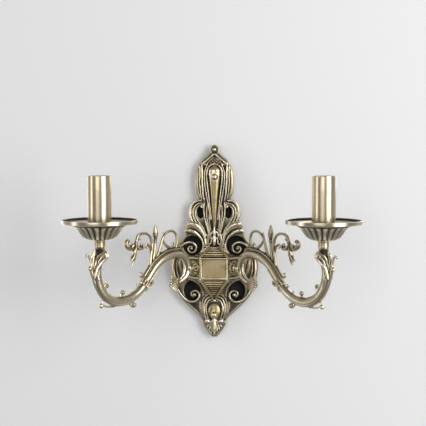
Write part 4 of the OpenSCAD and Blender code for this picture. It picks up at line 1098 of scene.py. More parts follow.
    def medallion(self) -> None:
        """The oval, its bands and the shell of the foot."""
        self.bead(0, -43.6, 2.3, 11.0, False)
        self.bead(3.4, -44.8, 1.0, 10.4)
        self.band([(1.8, -41), (6.8, -43.6), (10, -49.6), (10.3, -58), (8, -66)], [0.7, 1.0, 1.1, 1.1, 0.8],
                  10.8)
        self.band([(3, -38.4), (9.4, -41.2), (12.8, -49), (13, -59), (10.8, -67)], [0.8, 1.2, 1.3, 1.2, 0.8],
                  10.6)
        self.band([(9, -37), (13.8, -41.6), (15.8, -50), (15.4, -59.6), (13.2, -66.4)],
                  [0.6, 0.9, 1.0, 0.9, 0.7], 9.8)
        self.band([(18, -46), (18.4, -53), (16.8, -61)], [0.5, 0.7, 0.5], 9.4)
        self.bead(8.6, -70, (3.6, 2.8, 3.8), 10.2)
        self.band([(5.2, -73), (8.8, -74), (12, -71.6)], [0.8, 1.0, 0.7], 10.6)
        self.band([(0, -66), (0, -73), (0, -80), (0, -86.4)], [1.2, 1.6, 1.9, 1.6], 11.2, 3, 0.9, False)
        for share in (0.28, 0.52, 0.78):
            tip = (11.6 * share, -86 + 11 * share)
            self.band([(1.2, -67), (tip[0] * 0.72, -75 + share * 2), tip], [0.6, 1.1, 1.3], 10.8, 3, 0.9)
        self.bead(0, -88, (1.9, 2.2, 1.9), 8.0, False)

    def build(self) -> None:
        """Makes the plate and hands it over."""
        shell = self.body()
        for part in (self.rim, self.crown, self.ears, self.rolls, self.volutes, self.medallion):
            part()
        plate = Bench.fuse([shell] + self.made, "plate_dress", self.grain, 2, self.triangles)
        PatinaAndShade(4, 50, 0.4, height=0.34, low=-8.0, high=-13.0, lift=0.06, blur=5, raw=0.32).apply(plate)
        self.openings(plate)
        self.polished()
        Bench.soften(plate, 60)
        self.hand_over(plate, Slot.PLATE, ["back_plate"])


@dataclass
class CentreBlock(Assembly):
    """The half-octagonal block with its stepped roofs."""

    half: float = 16.5
    run: float = 18.385
    front: float = 40.0
    height: float = 26.6
    wall: float = 2.5
    back: float = 9.0
    roof: float = 11.0
    roof_courses: int = 5
    pendant: float = 26.0
    pendant_courses: int = 9
    roof_tip: Point = (6.0, 3.0)
    pendant_tip: Point = (1.8, 2.5)
    tip_front: float = 12.5
    roof_fall: float = 7.0
    groove: float = 2.3
    pad_r: float = 9.4
    pad_sunk: float = 1.02
    hollow_share: float = 0.93
    edge_r: Sequence[float] = (1.8, 1.8, 1.6)
    front_panel: Point = (1.3, 0.4)
    side_panel: Point = (2.2, 0.9)
    grain: float = 0.4
    triangles: int = 190000

    def slab(self, half: float, run: float, front: float, low: float, high: float, bevel: float) -> Piece:
        """A half-octagonal slab.

        Args:
            half: half width of its front.
            run: how far its angled sides reach.
            front: its depth from the wall.
            low: height of its underside.
            high: height of its top.
            bevel: radius of its worn edges.

        Returns:
            The slab.
        """
        piece = Bench.box((0, -(front + self.back) / 2, (low + high) / 2),
                          (2 * (half + run), front - self.back, high - low))
        for edge in piece.data.edges:
            ends = [piece.data.vertices[v].co for v in edge.vertices]
            edge.select = all(v.y < -(front - 0.01) * MM for v in ends) and abs(ends[0].z - ends[1].z) > 1e-6
        Bench.pick("EDGE")
        bpy.ops.mesh.bevel(offset=run * MM, segments=1, affect="EDGES")
        Bench.done()
        if bevel:
            Bench.modify(piece, "BEVEL", width=bevel * MM, segments=2, limit_method="ANGLE")
        return piece

    @staticmethod
    def panel(piece: Piece, test: Callable[[bpy.types.MeshPolygon], bool], inset: float, sink: float) -> None:
        """Sinks a framed panel into faces.

        Args:
            piece: the piece.
            test: which faces to sink.
            inset: width of the frame in millimetres.
            sink: depth of the panel.
        """
        Bench.focus(piece)
        for face in piece.data.polygons:
            face.select = test(face)
        Bench.pick("FACE")
        bpy.ops.mesh.inset(thickness=inset * MM, use_individual=True)
        bpy.ops.mesh.inset(thickness=0.5 * MM, depth=-sink * MM, use_individual=True)
        Bench.done()

    def core(self) -> Piece:
        """The hollow block between the roofs, with its sunk panels."""
        top = self.height / 2
        core = self.slab(self.half, self.run, self.front, -top, top, 0)
        self.panel(core, lambda f: f.normal.y < -0.9, *self.front_panel)
        self.panel(core, lambda f: -0.8 < f.normal.y < -0.6 and f.area > 2e-4, *self.side_panel)
        Bench.modify(core, "BEVEL", width=0.35 * MM, segments=2, limit_method="ANGLE")
        hollow = self.slab(self.half - 1.0, self.run, self.front - self.wall, -top + self.wall,
                           top - self.wall, 0)
        hollow.scale.x = self.hollow_share
        hollow.location.y = 0.2 * MM
        Bench.settle(hollow)
        Bench.cut(core, hollow)
        return core

    def pads(self) -> list[Piece]:
        """The round pads under the bosses, on the right and on the left."""
        pads = []
        for side in (1, -1):
            pad = Bench.rod(self.pad_r, 2, 48)
            pad.matrix_world = (self.lamp.facet() @ Matrix.Rotation(math.pi / 2, 4, "Y")
                                @ Matrix.Translation((0, 0, -self.pad_sunk * MM)))
            Bench.settle(pad)
            if side < 0:
                pad.scale.x = -1
                Bench.settle(pad)
            pads.append(pad)
        return pads

    def roofs(self) -> Sequence[tuple[Point, float, float, int]]:
        """Half width and side reach at the tip, height of the root, rise and courses of both roofs."""
        return ((self.roof_tip, self.height / 2, self.roof, self.roof_courses),
                (self.pendant_tip, -self.height / 2, -self.pendant, self.pendant_courses))

    def front_at(self, t: float) -> float:
        """How far a roof stands from the wall, at a share of its rise."""
        return self.front + (self.tip_front - self.front) * t

    def build(self) -> None:
        """Makes the block and hands it over."""
        parts = [self.core()] + self.pads()
        for tip, base, rise, count in self.roofs():
            for k in range(count):
                parts += self.course(tip, base, rise, k, count)
        block = Bench.fuse(parts + self.edges(), "block_dress", self.grain, 1, self.triangles)
        # Painted shade darkening the pendant under the block.
        pendant_shade = (Vector((0, -0.024, -0.029)), 0.027, 0.74)
        PatinaAndShade(4, 36, 0.5, lift=0.02, painted_shade_spots=(pendant_shade,)).apply(block)
        self.hand_over(block, Slot.CAST, ["centre_block"], look=self.palette.gold)

    def course(self, tip: Point, base: float, rise: float, k: int, count: int) -> list[Piece]:
        """One course of a roof: a worn slab over a set-back one.

        Args:
            tip: half width and side reach at the tip.
            base: height of the roof's root.
            rise: height of the whole roof, negative under the block.
            k: the course's index.
            count: courses in the roof.

        Returns:
            The two slabs.
        """
        t = (k + 0.6) / count
        half = self.half + (tip[0] - self.half) * t
        front = self.front_at(t)
        run = min(tip[1] + (self.run - tip[1]) * (1 - t) ** self.roof_fall, front - self.back - 0.5)
        low, high = sorted((base + rise * k / count, base + rise * (k + 1) / count))
        gap = (high - low) * 0.5
        foot = gap if k == 0 else gap / 2
        bottom, top = (low + foot, high - gap / 2) if rise > 0 else (low + gap / 2, high - foot)
        return [self.slab(half - 0.3, run, front - 0.2, bottom, top, 0.25),
                self.slab(half - 2.0, run - 0.1, front - self.groove, low - 0.05, high + 0.05, 0)]

    def edges(self) -> list[Piece]:
        """Light edge bars down the corners of both roofs."""
        bars = []
        shares = (0.0, 0.3, 0.65, 1.0)
        for tip, base, rise, _ in self.roofs():
            depths = [-min(self.front_at(t) + 0.9, self.front - 1.1) for t in shares]
            for side in (1, -1):
                line = [(side * (self.half + 0.2 + (tip[0] - self.half) * t), base + rise * t)
                        for t in shares]
                bars.append(Bench.strand(line, self.edge_r, depths, 3))
        return bars


@dataclass
class ArmLine:
    """The arm's centreline in its drawing plane, as bends and straight runs."""

    mount: float = 9.0
    runs: Sequence[Point] = ((-19.5, -90), (-48, -50), (0, 20), (46, 50), (33.5, 90), (45, 16), (0, 5),
                             (-30, -16), (0, 7))

    def stations(self, step: float) -> list[Triple]:
        """Points (x, z, heading in degrees) along the line, about one step apart."""
        x, z, heading = self.mount, 0.0, 90.0
        line = []
        for bend, amount in self.runs:
            length = amount if bend == 0 else abs(math.radians(amount) * bend)
            count = max(1, math.ceil(length / step))
            for k in range(count):
                line.append(self._along(x, z, heading, bend, amount, k / count))
            x, z, heading = self._along(x, z, heading, bend, amount, 1.0)
        return line + [(x, z, heading)]

    @staticmethod
    def _along(x: float, z: float, heading: float, bend: float, amount: float, t: float) -> Triple:
        """A point part of the way along one run."""
        a = math.radians(heading)
        if bend == 0:
            return x + amount * t * math.cos(a), z + amount * t * math.sin(a), heading
        b = math.radians(heading + amount * t)
        return (x - bend * math.sin(a) + bend * math.sin(b), z + bend * math.cos(a) - bend * math.cos(b),
                heading + amount * t)


@dataclass
class Arm(Assembly):
    """A scroll arm with its head, leaf, strands, knobs and shell."""

    grain: float = 0.36
    line: ArmLine = field(default_factory=ArmLine)
    radii: Sequence[float] = (4.3, 4.9, 4.9, 5.0, 5.5, 5.6, 4.8, 4.3)
    # Painted shade: spots darkened in the hollows round the head's socket and on the knobs.
    head_shade_spots: Sequence[tuple[Triple, float]] = (((3.4, -4.6, 32.4), 6.6), ((3.4, 4.6, 32.4), 6.6),
                                                    ((6.6, 0, 26), 3.2))
    head_shade_kept: float = 0.34
    shaded_knobs: Sequence[Point] = ((66, -10.9), (93.6, -35.6), (110.2, -19.2), (132.8, -9.6))
    knob_reach: float = 4.4
    knob_shade_kept: float = 0.6
    triangles: int = 180000

    @staticmethod
    def section(angle: float) -> float:
        """Radius of the grooved tube as a share, by the angle from its left side."""
        a = abs(angle)
        near = min(abs(a - 30), abs(a - 140))
        return 0.9 if near < 6 else 0.97 if near < 16 else 1.03

    def knob(self, foot: Point, mid: Point, tip: Point, radius: float) -> None:
        """A round knob on a curved stem."""
        self.strand([foot, mid, tip], [1.5, 1.1, 1.1])
        self.balls((*tip, radius * 1.25))

    def tube(self) -> None:
        """The grooved tube and its curled lower end."""
        line = self.line.stations(3.0)
        rings = [Station(Vector((x * MM, 0, z * MM)), math.radians(h), r * MM)
                 for (x, z, h), r in zip(line, spread(self.radii, len(line)))]
        self.made.append(Bench.sweep(rings, 36, 1.0, self.section))
        self.strand([(9, 4), (9, 0), (10, -5.6), (13.6, -10.4), (19, -13.6), (24, -15.6)],
                    [4.1, 4.1, 3.6, 3, 2.4, 1.6], 0, 4)
        self.strand([(14.6, 6), (14, -1), (16.6, -7.4), (21.4, -11.6)], [1.0, 1.5, 1.3, 0.8], 0, 4, 1.2)
        self.made.append(Bench.rod(5.6, 4.4, 40, (7.1, 0, 0), (0, math.pi / 2, 0)))

    def shell(self) -> None:
        """The fan of ribs at the curl's end."""
        x, z = 21.6, -12.8
        for k in range(9):
            angle = math.radians(-66 + k * 11)
            length = 17.4 - abs(k - 4) * 0.8
            out = (math.cos(angle), math.sin(angle))
            lift = 1.9 * math.cos((k - 4) * 0.36)
            for side in (1, -1):
                self.strand([(x, z), (x + 0.55 * length * out[0], z + 0.55 * length * out[1]),
                             (x + length * out[0], z + length * out[1])],
                            [0.8, 1.2, 1.45], [0, side * lift, side * lift * 0.6], 3)
        self.made.append(Bench.ball((x + 7.4, 0, z - 3.4), (8.2, 2.0, 6.8)))
        for k in range(3):
            reach = 6.6 + 3.1 * k
            self.strand(arc((x, z), reach, -66, 20, 7), [0.7, 0.9, 0.7], 0.0, 2, 3.2 - 0.5 * k)

    def head(self) -> None:
        """The socket under the ring, and the leaf that wraps it from the curl on its inner side."""
        x = self.lamp.candle
        profile = [(4.0, 21.6), (4.8, 23.2), (5.5, 25.4), (5.6, 28.0), (5.6, 31.0), (5.6, 34.6), (5.7, 35.8),
                   (5.8, 36.5), (3.4, 36.5), (3.4, 21.6)]
        socket = Bench.turned(profile, 40)
        socket.location.x = x * MM
        self.made.append(socket)
        leaves = (
            ([(-4.0, 0.9, 32.2), (-6.9, 0.9, 30.4), (-8.0, 0.9, 27), (-7.5, 0.9, 23.6), (-5.4, 1.2, 20.4),
              (-3.0, 1.6, 17.2)], [0.9, 1.3, 1.6, 1.6, 1.4, 0.9]),
            ([(-5.0, 2.6, 29), (-6.2, 2.6, 26.7), (-6.2, 2.8, 23.9), (-4.2, 3.5, 21.2), (-0.8, 4.2, 17.4),
              (2.2, 3.3, 12.4), (3.6, 3.4, 6.5), (4.4, 3.5, 1)], [1.2, 2.1, 2.5, 2.5, 2.3, 2.1, 1.8, 1.0]),
            ([(-5.2, 4.0, 32.4), (-3.6, 5.0, 30.4), (-1.0, 4.9, 28), (1.8, 2.8, 25.2), (3.6, 1.1, 20.6),
              (5.2, 0.7, 14.6), (6.4, 0.6, 8.6)], [0.8, 1.2, 1.3, 1.3, 1.35, 1.2, 0.8]),
            ([(-3.2, 4.6, 26.2), (-0.6, 4.4, 22.2), (1.3, 3.4, 17.6), (2.8, 2.6, 12.6)],
             [0.6, 0.95, 0.95, 0.5]),
            ([(3.4, 0, 35.2), (4.3, 0, 30.4), (5.0, 0, 25), (5.9, 0, 18.6)], [0.8, 1.3, 1.3, 1.0]),
            ([(4.8, 0, 32.4), (6.1, 0, 27), (7.0, 0, 21), (7.5, 0, 13)], [1.0, 1.5, 1.6, 1.2]),
            ([(4.6, 0, 34), (6.9, 0, 29.4), (8.3, 0, 24.6), (8.8, 0, 17), (8.5, 0, 10)],
             [0.7, 1.2, 1.2, 1.2, 1.0]))
        for line, radii in leaves:
            for side in (-1, 1) if line[0][1] else (1,):
                self.strand([(x + across * math.sqrt(2) + depth, z) for across, depth, z in line], radii,
                            [side * depth for _, depth, _ in line], 4)

    def strands(self) -> None:
        """Strands beside the bowl and the upright, and their curls."""
        self.strand([(121, -33), (133, -26.8), (143.5, -17), (150.4, -5), (153.6, 6), (155.2, 14), (156, 20),
                     (157.2, 24.6), (159.4, 28), (161.6, 27.8)],
                    [1.2, 2.0, 2.3, 2.1, 1.8, 1.6, 1.4, 1.4, 1.3, 1.0], 0.0, 4, 1.15)
        self.balls((162.2, 26.7, 1.7))
        self.strand([(150.5, -4), (154, 4), (156.2, 10)], [1.4, 1.4, 1.1])
        self.balls((156.8, 12.6, 2.4))
        for side in (1, -1):
            self.strand([(137, -20), (143.6, -9), (147.4, 0), (149.4, 8)], [1.0, 1.6, 1.7, 1.2],
                        [side * 3.6, side * 4.0, side * 3.4])
            self.strand([(60, 3.4), (69, -6.4), (78, -16.4)], [0.7, 0.9, 0.6],
                        [side * 4.2, side * 4.4, side * 4.0])
        self.strand([(139, -8), (142.4, 2), (142.2, 11), (140.2, 19)], [1.3, 1.7, 1.4, 0.8], 0.0, 3, 1.2)
        self.strand([(118, -24.4), (129, -20.2), (135, -14), (136.6, -9), (133.8, -6.8), (131.2, -9.2),
                     (132.4, -11.6)], [1.2, 1.5, 1.4, 1.2, 1.1, 1.0, 0.8], 0.0, 4)
        self.balls((132.8, -9.6, 1.7))

    def collar(self) -> None:
        """The leaf that wraps the fall, and the knobs along the arm."""
        at = Vector((77.4, 0, -12.2))
        cos, sin = math.cos(math.radians(-50)), math.sin(math.radians(-50))
        for k in range(9):
            angle = 2 * math.pi * k / 9
            left, side = 4.7 * math.cos(angle), 4.7 * math.sin(angle)
            foot = (at.x - 5 * cos - left * sin, at.z - 5 * sin + left * cos)
            tip = (at.x + 2.6 * cos - 1.12 * left * sin, at.z + 2.6 * sin + 1.12 * left * cos)
            self.strand([foot, tip], [0.8, 1.5], [side, side * 1.12])
        self.strand([(73, -13), (68.2, -14.6), (65.2, -12), (66.2, -9)], [1.9, 1.9, 1.6, 1.2])
        self.balls((66, -10.9, 2.3))
        self.strand([(80, -18.8), (75.6, -20.4), (72.4, -18.4)], [1.3, 1.4, 1.0])
        self.knob((134, -23.6), (139.4, -26.6), (141.2, -31.4), 2.4)
        self.strand([(122, -34.4), (132, -33.6), (138, -31.6)], [1.0, 1.3, 1.0])
        self.knob((98.6, -29), (95.6, -32.6), (93.6, -35.6), 2.3)
        self.strand([(101, -33), (97.6, -36.6), (94.6, -38.2), (92, -36.4)], [1.1, 1.1, 1.0, 0.8])
        self.knob((110.6, -26), (110.2, -22.6), (110.2, -19.2), 2.2)
        self.strand([(114.6, -25), (113.4, -21), (110.8, -17.8), (108.4, -19.4)], [1.0, 1.0, 0.9, 0.7])
        self.knob((86, -17.4), (87.6, -14.8), (89, -12.6), 1.6)
        self.strand([(95, -21.4), (97.4, -19.4), (98.2, -17)], [1.1, 1.0, 0.6])

    def build(self) -> None:
        """Makes the right arm and its twin, and hands them over."""
        for part in (self.tube, self.shell, self.head, self.strands, self.collar):
            part()
        arm = Bench.fuse(self.made, "arm_dress_right", self.grain, 2, self.triangles)
        Bench.place(arm, self.lamp.facet())
        # Spots of painted shade round the socket and on the knobs.
        hollows = tuple((self.lamp.candle_seat(z) @ Vector((x * MM, y * MM, 0)), reach * MM, self.head_shade_kept)
                        for (x, y, z), reach in self.head_shade_spots)
        knobs = tuple((self.lamp.facet() @ Vector((x * MM, 0, z * MM)), self.knob_reach * MM, self.knob_shade_kept)
                      for x, z in self.shaded_knobs)
        self.hand_pair(arm, Slot.CAST, "arm",
                       PatinaAndShade(5, 60, 0.4, lift=0.18, most=0.8, painted_shade_spots=hollows + knobs))


@dataclass
class Spray(Assembly):
    """The spray of stems on top of an arm."""

    grain: float = 0.3
    stout: float = 1.26
    clearance: float = 6.85
    triangles: int = 120000

    def stem(self, points: Sequence[Point], radii: Sequence[float], y: Stops = 0.0, steps: int = 4,
             broad: float = 1.0) -> None:
        """Adds a stem."""
        self.strand(points, [r * self.stout for r in radii], y, steps, broad)

    def petal(self, root: Point, tip: Point, side: float, radius: float, hook: float) -> None:
        """A petal that leaves the plane and hooks back."""
        mid = ((root[0] + tip[0]) / 2, (root[1] + tip[1]) / 2 + hook)
        self.stem([root, mid, tip], [radius * 0.7, radius, radius * 0.5], [0, side * 0.8, side], 3)

    def saddle(self) -> None:
        """The ribbed strip that lies on the arm."""
        points = []
        for x, z, heading in ArmLine().stations(4.0):
            if -51 <= heading <= 25 and x < 73:
                h = math.radians(heading)
                points.append((x - self.clearance * math.sin(h), z + self.clearance * math.cos(h)))
        for side, radius in ((0, 1.5), (1.5, 0.9), (-1.5, 0.9)):
            self.stem(points, [radius * 0.6, radius, radius, radius, radius * 0.8], side, 1)

    def flower(self) -> None:
        """The arched stem with its hanging flower."""
        self.stem([(69.4, 3.4), (68, 18), (66.2, 30), (66.4, 37.4), (69.4, 44), (75.2, 47.4), (81.6, 47.6),
                   (87.2, 45), (90, 37)], [1.9, 1.7, 1.6, 1.5, 1.4, 1.3, 1.4, 1.7, 1.7])
        self.stem([(90.2, 38), (91.6, 31), (93, 24), (94, 16.6), (97.8, 9.6)], [1.6, 2.5, 2.4, 1.5, 0.5])
        for side in (1, -1):
            self.stem([(91, 33), (92.6, 26), (95.4, 20), (99, 16.4)], [1.0, 1.2, 1.0, 0.5],
                      [0, side * 1.8, side * 1.4])
            self.petal((91, 35), (99.6, 31.4), side * 2.4, 1.5, 1.4)
        self.stem([(91.5, 33), (98, 31), (103, 33.4), (104.8, 37.6), (102.6, 41), (100, 39.4)],
                  [1.4, 2.1, 2.3, 1.9, 1.4, 1.0], 0.0, 4, 1.3)
        self.stem([(91.5, 34.5), (86.5, 31), (81.5, 30.8), (80.6, 34.6), (83, 36)], [1.4, 2.2, 2.0, 1.4, 0.9],
                  0.0, 4, 1.3)
        self.stem([(84, 46), (87.6, 43.4), (86.4, 40.6), (84, 41.6)], [1.0, 1.1, 0.9, 0.7])
        self.stem([(67.6, 26.5), (70.6, 32.6), (74.8, 34.6), (76, 31.6), (74, 30)], [1.1, 1.3, 1.3, 1.0, 0.7])
        self.balls((103.2, 39.6, 2.3), (82.2, 34.2, 2.0))

    def bud(self) -> None:
        """The upright stem with its pointed bud."""
        self.stem([(66.4, 9.4), (62.4, 24), (60.8, 38)], [1.9, 1.6, 1.4])
        self.stem([(60.8, 40), (60.8, 44), (60.9, 48.4), (61, 53), (61.2, 57)], [1.5, 2.5, 2.6, 1.9, 0.6],
                  0.0, 3)
        for k in range(5):
            angle = 2 * math.pi * k / 5
            dx, dy = 2.3 * math.cos(angle), 2.3 * math.sin(angle)
            self.stem([(60.8 + dx * 0.6, 40.6), (60.9 + dx, 45), (61 + dx * 0.8, 49.6), (61.1, 54.6)],
                      [0.7, 0.9, 0.8, 0.4], [dy * 0.6, dy, dy * 0.8, 0], 2)
        for z, radius in ((38.9, 3.0), (36.6, 2.2)):
            self.made.append(Bench.ball((60.8, 0, z), (radius, radius, 0.9)))

    def loop(self) -> None:
        """The inner stem, its loop down to the hook and the little knobs."""
        self.stem([(62.6, 14.8), (56.5, 21.6), (52.6, 31.5), (48.8, 40.8), (44.6, 45.6), (38.6, 48),
                   (32.4, 47.4), (28, 43), (26.8, 36.5), (27.2, 30), (30, 26.2)],
                  [1.7, 1.5, 1.4, 1.4, 1.3, 1.3, 1.3, 1.3, 1.3, 1.3, 1.4])
        self.stem([(48.6, 37), (44.5, 31.5), (39, 28.2), (33, 26.6)], [1.1, 1.5, 1.7, 1.5])
        self.stem([(27.2, 33), (24.4, 29.6), (22.6, 25.8), (24.6, 24.4)], [1.0, 1.2, 1.1, 0.8])
        self.stem([(33, 27), (31.2, 30.6), (33.2, 33.4), (35.6, 32)], [1.0, 1.0, 0.9, 0.7])
        self.stem([(49, 40), (49.6, 43), (48.4, 46)], [1.0, 0.8, 0.9])
        self.stem([(57, 20), (53.6, 22.6), (50.6, 23)], [1.1, 1.0, 0.7])
        self.balls((48.1, 46, 1.7), (52.8, 28.4, 1.7), (50.6, 22.8, 1.3), (35.2, 31.8, 1.2))

    def build(self) -> None:
        """Makes the right spray and its twin, and hands them over."""
        for part in (self.saddle, self.flower, self.bud, self.loop):
            part()
        self.stem([(75.8, 0.4), (80, -3.6), (83.6, -3), (84.8, -0.2), (82.8, 1.4), (81, 0)],
                  [1.3, 1.3, 1.2, 1, 0.8, 0.7])
        spray = Bench.fuse(self.made, "spray_dress_right", self.grain, 1, self.triangles)
        Bench.place(spray, self.lamp.facet())
        self.hand_pair(spray, Slot.CAST, "arm_spray", PatinaAndShade(5, 40, 0.5))


@dataclass
class Candle(Assembly):
    """What stands on an arm's head: ring, pan and sleeve, and the boss at its foot."""

    flutes: int = 20
    columns: int = 8
    sleeve_r: float = 13.5
    sleeve_t: float = 0.9

    @staticmethod
    def fit(piece: Piece, name: str, seat: Matrix, angle: float, rounds: Sequence[int] = ()) -> Piece:
        """Rounds a turned piece, names it, shades it smooth up to an angle and puts it on its seat."""
        for levels in rounds:
            Bench.modify(piece, "SUBSURF", levels=levels, render_levels=levels)
        piece.name = piece.data.name = name
        Bench.soften(piece, angle)
        Bench.place(piece, seat)
        return piece

    def pan(self) -> None:
        """The wide pan with its fluted cup."""
        outer = [(5.3, 0.0), (9.0, -0.0), (12.2, 0.0), (14.6, 0.9), (17.4, 2.0), (20.4, 4.2), (22.8, 7.2),
                 (24.6, 10.4), (26.2, 13.0), (28.2, 15.2), (31.0, 16.7), (34.6, 17.7), (38.6, 18.2),
                 (41.4, 18.5), (42.6, 18.6), (43.1, 18.8), (43.2, 19.3), (43.2, 20.8), (43.2, 22.4),
                 (43.1, 22.85), (42.7, 23.0), (42.1, 22.9), (41.8, 22.4), (41.5, 21.2), (40.4, 20.4),
                 (36.0, 19.6), (31.6, 18.4), (28.4, 16.8), (26.0, 14.6), (24.2, 11.6), (22.0, 8.2),
                 (19.4, 5.0), (16.6, 2.9), (14.2, 1.75), (9.0, 1.6), (5.3, 1.6)]
        depth = {2: 0.03, 3: 0.08, 4: 0.12, 5: 0.15, 6: 0.15, 7: 0.14, 8: 0.11, 9: 0.06, 10: 0.02,
                 27: 0.02, 28: 0.07, 29: 0.11, 30: 0.14, 31: 0.15, 32: 0.13, 33: 0.07}
        hollow = (1.0, 0.96, 0.78, 0.42, 0.0, 0.42, 0.78, 0.96)

        def lobes(ring: int, column: int) -> float:
            """Share of the radius in a flute's hollow or on the ridge beside it."""
            return 1.0 - depth.get(ring, 0.0) * hollow[column % self.columns]

        seat = self.lamp.candle_seat(self.lamp.pan_z)
        pan = self.fit(Bench.turned(outer, self.flutes * self.columns, lobes), "pan_dress_right", seat, 60,
                       (1, 1))
        # Painted shade in the cup's flute hollows and painted highlight on their ridges.
        self.hand_pair(pan, Slot.PAN, "drip_pan",
                       PatinaAndShade(12, 200, 0.25, lift=0.1, seat=seat, flutes=self.flutes))

    def ring(self) -> None:
        """The waisted collar between head and pan."""
        profile = [(5.3, 0), (6.1, 0), (6.4, 0.2), (6.45, 0.8), (6.3, 1.3), (6.2, 2.0), (6.2, 3.6),
                   (6.2, 5.2), (6.3, 5.9), (6.55, 6.3), (6.6, 6.8), (6.45, 7.3), (6.1, 7.6), (5.3, 7.6)]
        ring = self.fit(Bench.turned(profile, 60), "ring_dress_right",
                        self.lamp.candle_seat(self.lamp.ring_z), 60, (2,))
        self.hand_pair(ring, Slot.CAST, "neck_ring", PatinaAndShade(3, 14, 0.4, lift=0.16))

    def boss(self) -> None:
        """The fluted boss between block and arm."""
        profile = [(4.4, 0), (9.2, 0), (9.5, 0.2), (9.5, 0.9), (9.2, 1.2), (8.9, 1.5), (8.5, 2.4), (8.0, 3.5),
                   (7.4, 4.2), (6.3, 4.7), (4.4, 4.7)]
        slot = (0.74, 0.78, 0.9, 1.0, 1.0, 1.0, 0.9, 0.78)
        boss = self.fit(Bench.turned(profile, 96, lambda k, c: slot[c % 8] if 4 <= k <= 7 else 1.0),
                        "boss_dress_right", self.lamp.facet() @ Matrix.Rotation(math.pi / 2, 4, "Y"), 50,
                        (2,))
        self.hand_pair(boss, Slot.CAST, "arm_boss", PatinaAndShade(3, 14, 0.4))

    def sleeve(self) -> None:
        """The loose brushed sleeve."""
        r, t, h = self.sleeve_r, self.sleeve_t, self.lamp.sleeve_h
        profile = [(r - t, 0.25), (r - t + 0.2, 0.0), (r - 0.2, 0.0), (r, 0.25), (r, h * 0.25), (r, h * 0.5),
                   (r, h * 0.75), (r, h - 0.45), (r - 0.1, h - 0.15), (r - 0.3, h), (r - t + 0.2, h),
                   (r - t, h - 0.25), (r - t, h * 0.75), (r - t, h * 0.5), (r - t, h * 0.25)]
        sleeve = self.fit(Bench.turned(profile, 128), "sleeve_dress_right",
                          self.lamp.candle_seat(self.lamp.sleeve_z), 30)
        self.hand_pair(sleeve, Slot.BRUSHED, "sleeve", body="candle_sleeve_")

    def build(self) -> None:
        """Makes the pieces of both candles."""
        self.pan()
        self.ring()
        self.boss()
        self.sleeve()


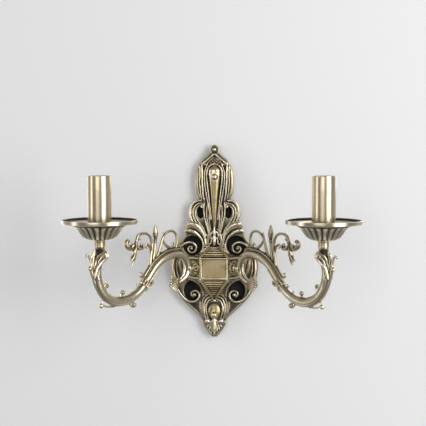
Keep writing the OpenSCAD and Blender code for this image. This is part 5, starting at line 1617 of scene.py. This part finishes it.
@dataclass
class Studio:
    """The wall, the light and the camera, in metres."""

    wall: Triple = (0.8, 0.8, 0.805)
    sky: float = 0.47
    seen_sky: float = 0.78
    room_front: Point = (-0.15, 0.3)
    room_back: Point = (0.5, 0.72)
    key: float = 20.5
    target: Triple = (0, -0.05, 0.03)
    eye: Triple = (0.036, -1.244, 0.153)
    aim: Triple = (86, 0, 1.754)
    lens: float = 83.6

    def backdrop(self) -> None:
        """A pale wall that shows only from its front."""
        Bench.deselect()
        bpy.ops.mesh.primitive_plane_add(size=6, location=(0, 0.0002, 0), rotation=(math.pi / 2, 0, 0))
        wall = bpy.context.object
        wall.name = wall.data.name = "wall"
        tree = Tree("pale_wall")
        plaster = tree.bump(tree.noise(60.0, 5.0), 0.0002)
        tree.finish({"Base Color": self.wall, "Roughness": 0.9, "Normal": plaster})
        behind = tree.signal("ShaderNodeNewGeometry", {}, {}, "Backfacing")
        clear = tree.signal("ShaderNodeBsdfTransparent", {}, {})
        mixed = tree.signal("ShaderNodeMixShader", {}, {0: behind, 1: tree.shader.outputs[0], 2: clear})
        tree.feed(tree.output, {"Surface": mixed})
        wall.data.materials.append(tree.material)
        wall.visible_shadow = wall.visible_glossy = wall.visible_diffuse = False

    def light(self) -> None:
        """Soft lamps in front and two weak ones behind."""
        lamps = (("key", (1.2, -1.25, 0.35), (0.9, 1.5), self.key),
                 ("fill", (-1.65, -0.6, 0.2), (0.45, 1.4), 5.0),
                 ("front", (-0.5, -2.2, 0.5), (1.2, 1.2), self.key * 0.42),
                 ("back", (0.9, 1.4, 0.6), (1.2, 1.2), self.key * 0.3),
                 ("back_low", (-1.1, 1.3, -0.2), (1.2, 1.2), self.key * 0.2))
        for name, place, size, power in lamps:
            data = bpy.data.lights.new(name, "AREA")
            data.shape = "RECTANGLE"
            data.size, data.size_y = size
            data.energy = power
            lamp = bpy.data.objects.new(name, data)
            lamp.location = place
            lamp.rotation_euler = (Vector(self.target) - Vector(place)).to_track_quat("-Z", "Y").to_euler()
            bpy.context.scene.collection.objects.link(lamp)

    def sky_light(self) -> None:
        """A world that lights evenly, and mirrors as a dim room in front and a pale wall behind."""
        world = bpy.data.worlds.new("studio")
        bpy.context.scene.world = world
        world.use_nodes = True
        graph = Graph(world.node_tree)
        way = graph.signal("ShaderNodeTexCoord", {}, {}, "Generated")
        depth = graph.signal("ShaderNodeSeparateXYZ", {}, {0: way}, "Y")
        (near, dim), (far, pale) = self.room_front, self.room_back
        room = graph.signal("ShaderNodeMapRange", {}, {
            "Value": depth, "From Min": near, "From Max": far, "To Min": dim, "To Max": pale})
        mirrored = graph.signal("ShaderNodeLightPath", {}, {}, "Is Glossy Ray")
        seen = graph.signal("ShaderNodeLightPath", {}, {}, "Is Camera Ray")
        unseen = graph.signal("ShaderNodeMix", {}, {0: mirrored, 2: self.sky, 3: room})
        strength = graph.signal("ShaderNodeMix", {}, {0: seen, 2: unseen, 3: self.seen_sky})
        shine = graph.signal("ShaderNodeBackground", {}, {"Strength": strength})
        graph.node("ShaderNodeOutputWorld", {}, {"Surface": shine})

    def camera(self) -> None:
        """The camera at the photograph's angle."""
        data = bpy.data.cameras.new("camera")
        data.lens = self.lens
        data.sensor_width = 36.0
        camera = bpy.data.objects.new("camera", data)
        camera.location = self.eye
        camera.rotation_euler = [math.radians(angle) for angle in self.aim]
        bpy.context.scene.collection.objects.link(camera)
        bpy.context.scene.camera = camera
        bpy.context.scene.view_settings.view_transform = "Standard"

    def build(self) -> None:
        """Makes the whole studio."""
        self.camera()
        self.backdrop()
        self.light()
        self.sky_light()


def main() -> None:
    """Builds the lamp's dress and the studio."""
    logging.basicConfig(level=logging.INFO, format="%(name)s %(message)s")
    Bench.deselect()
    Studio().build()
    palette = Palette()
    palette.dress_nodes(frame["nodes"], frame["record"])
    lamp = Lamp()
    for kind in (BackPlate, CentreBlock, Arm, Spray, Candle):
        kind(lamp, palette).build()
        LOG.info("built %s", kind.__name__)


if __name__ == "__main__":
    main()
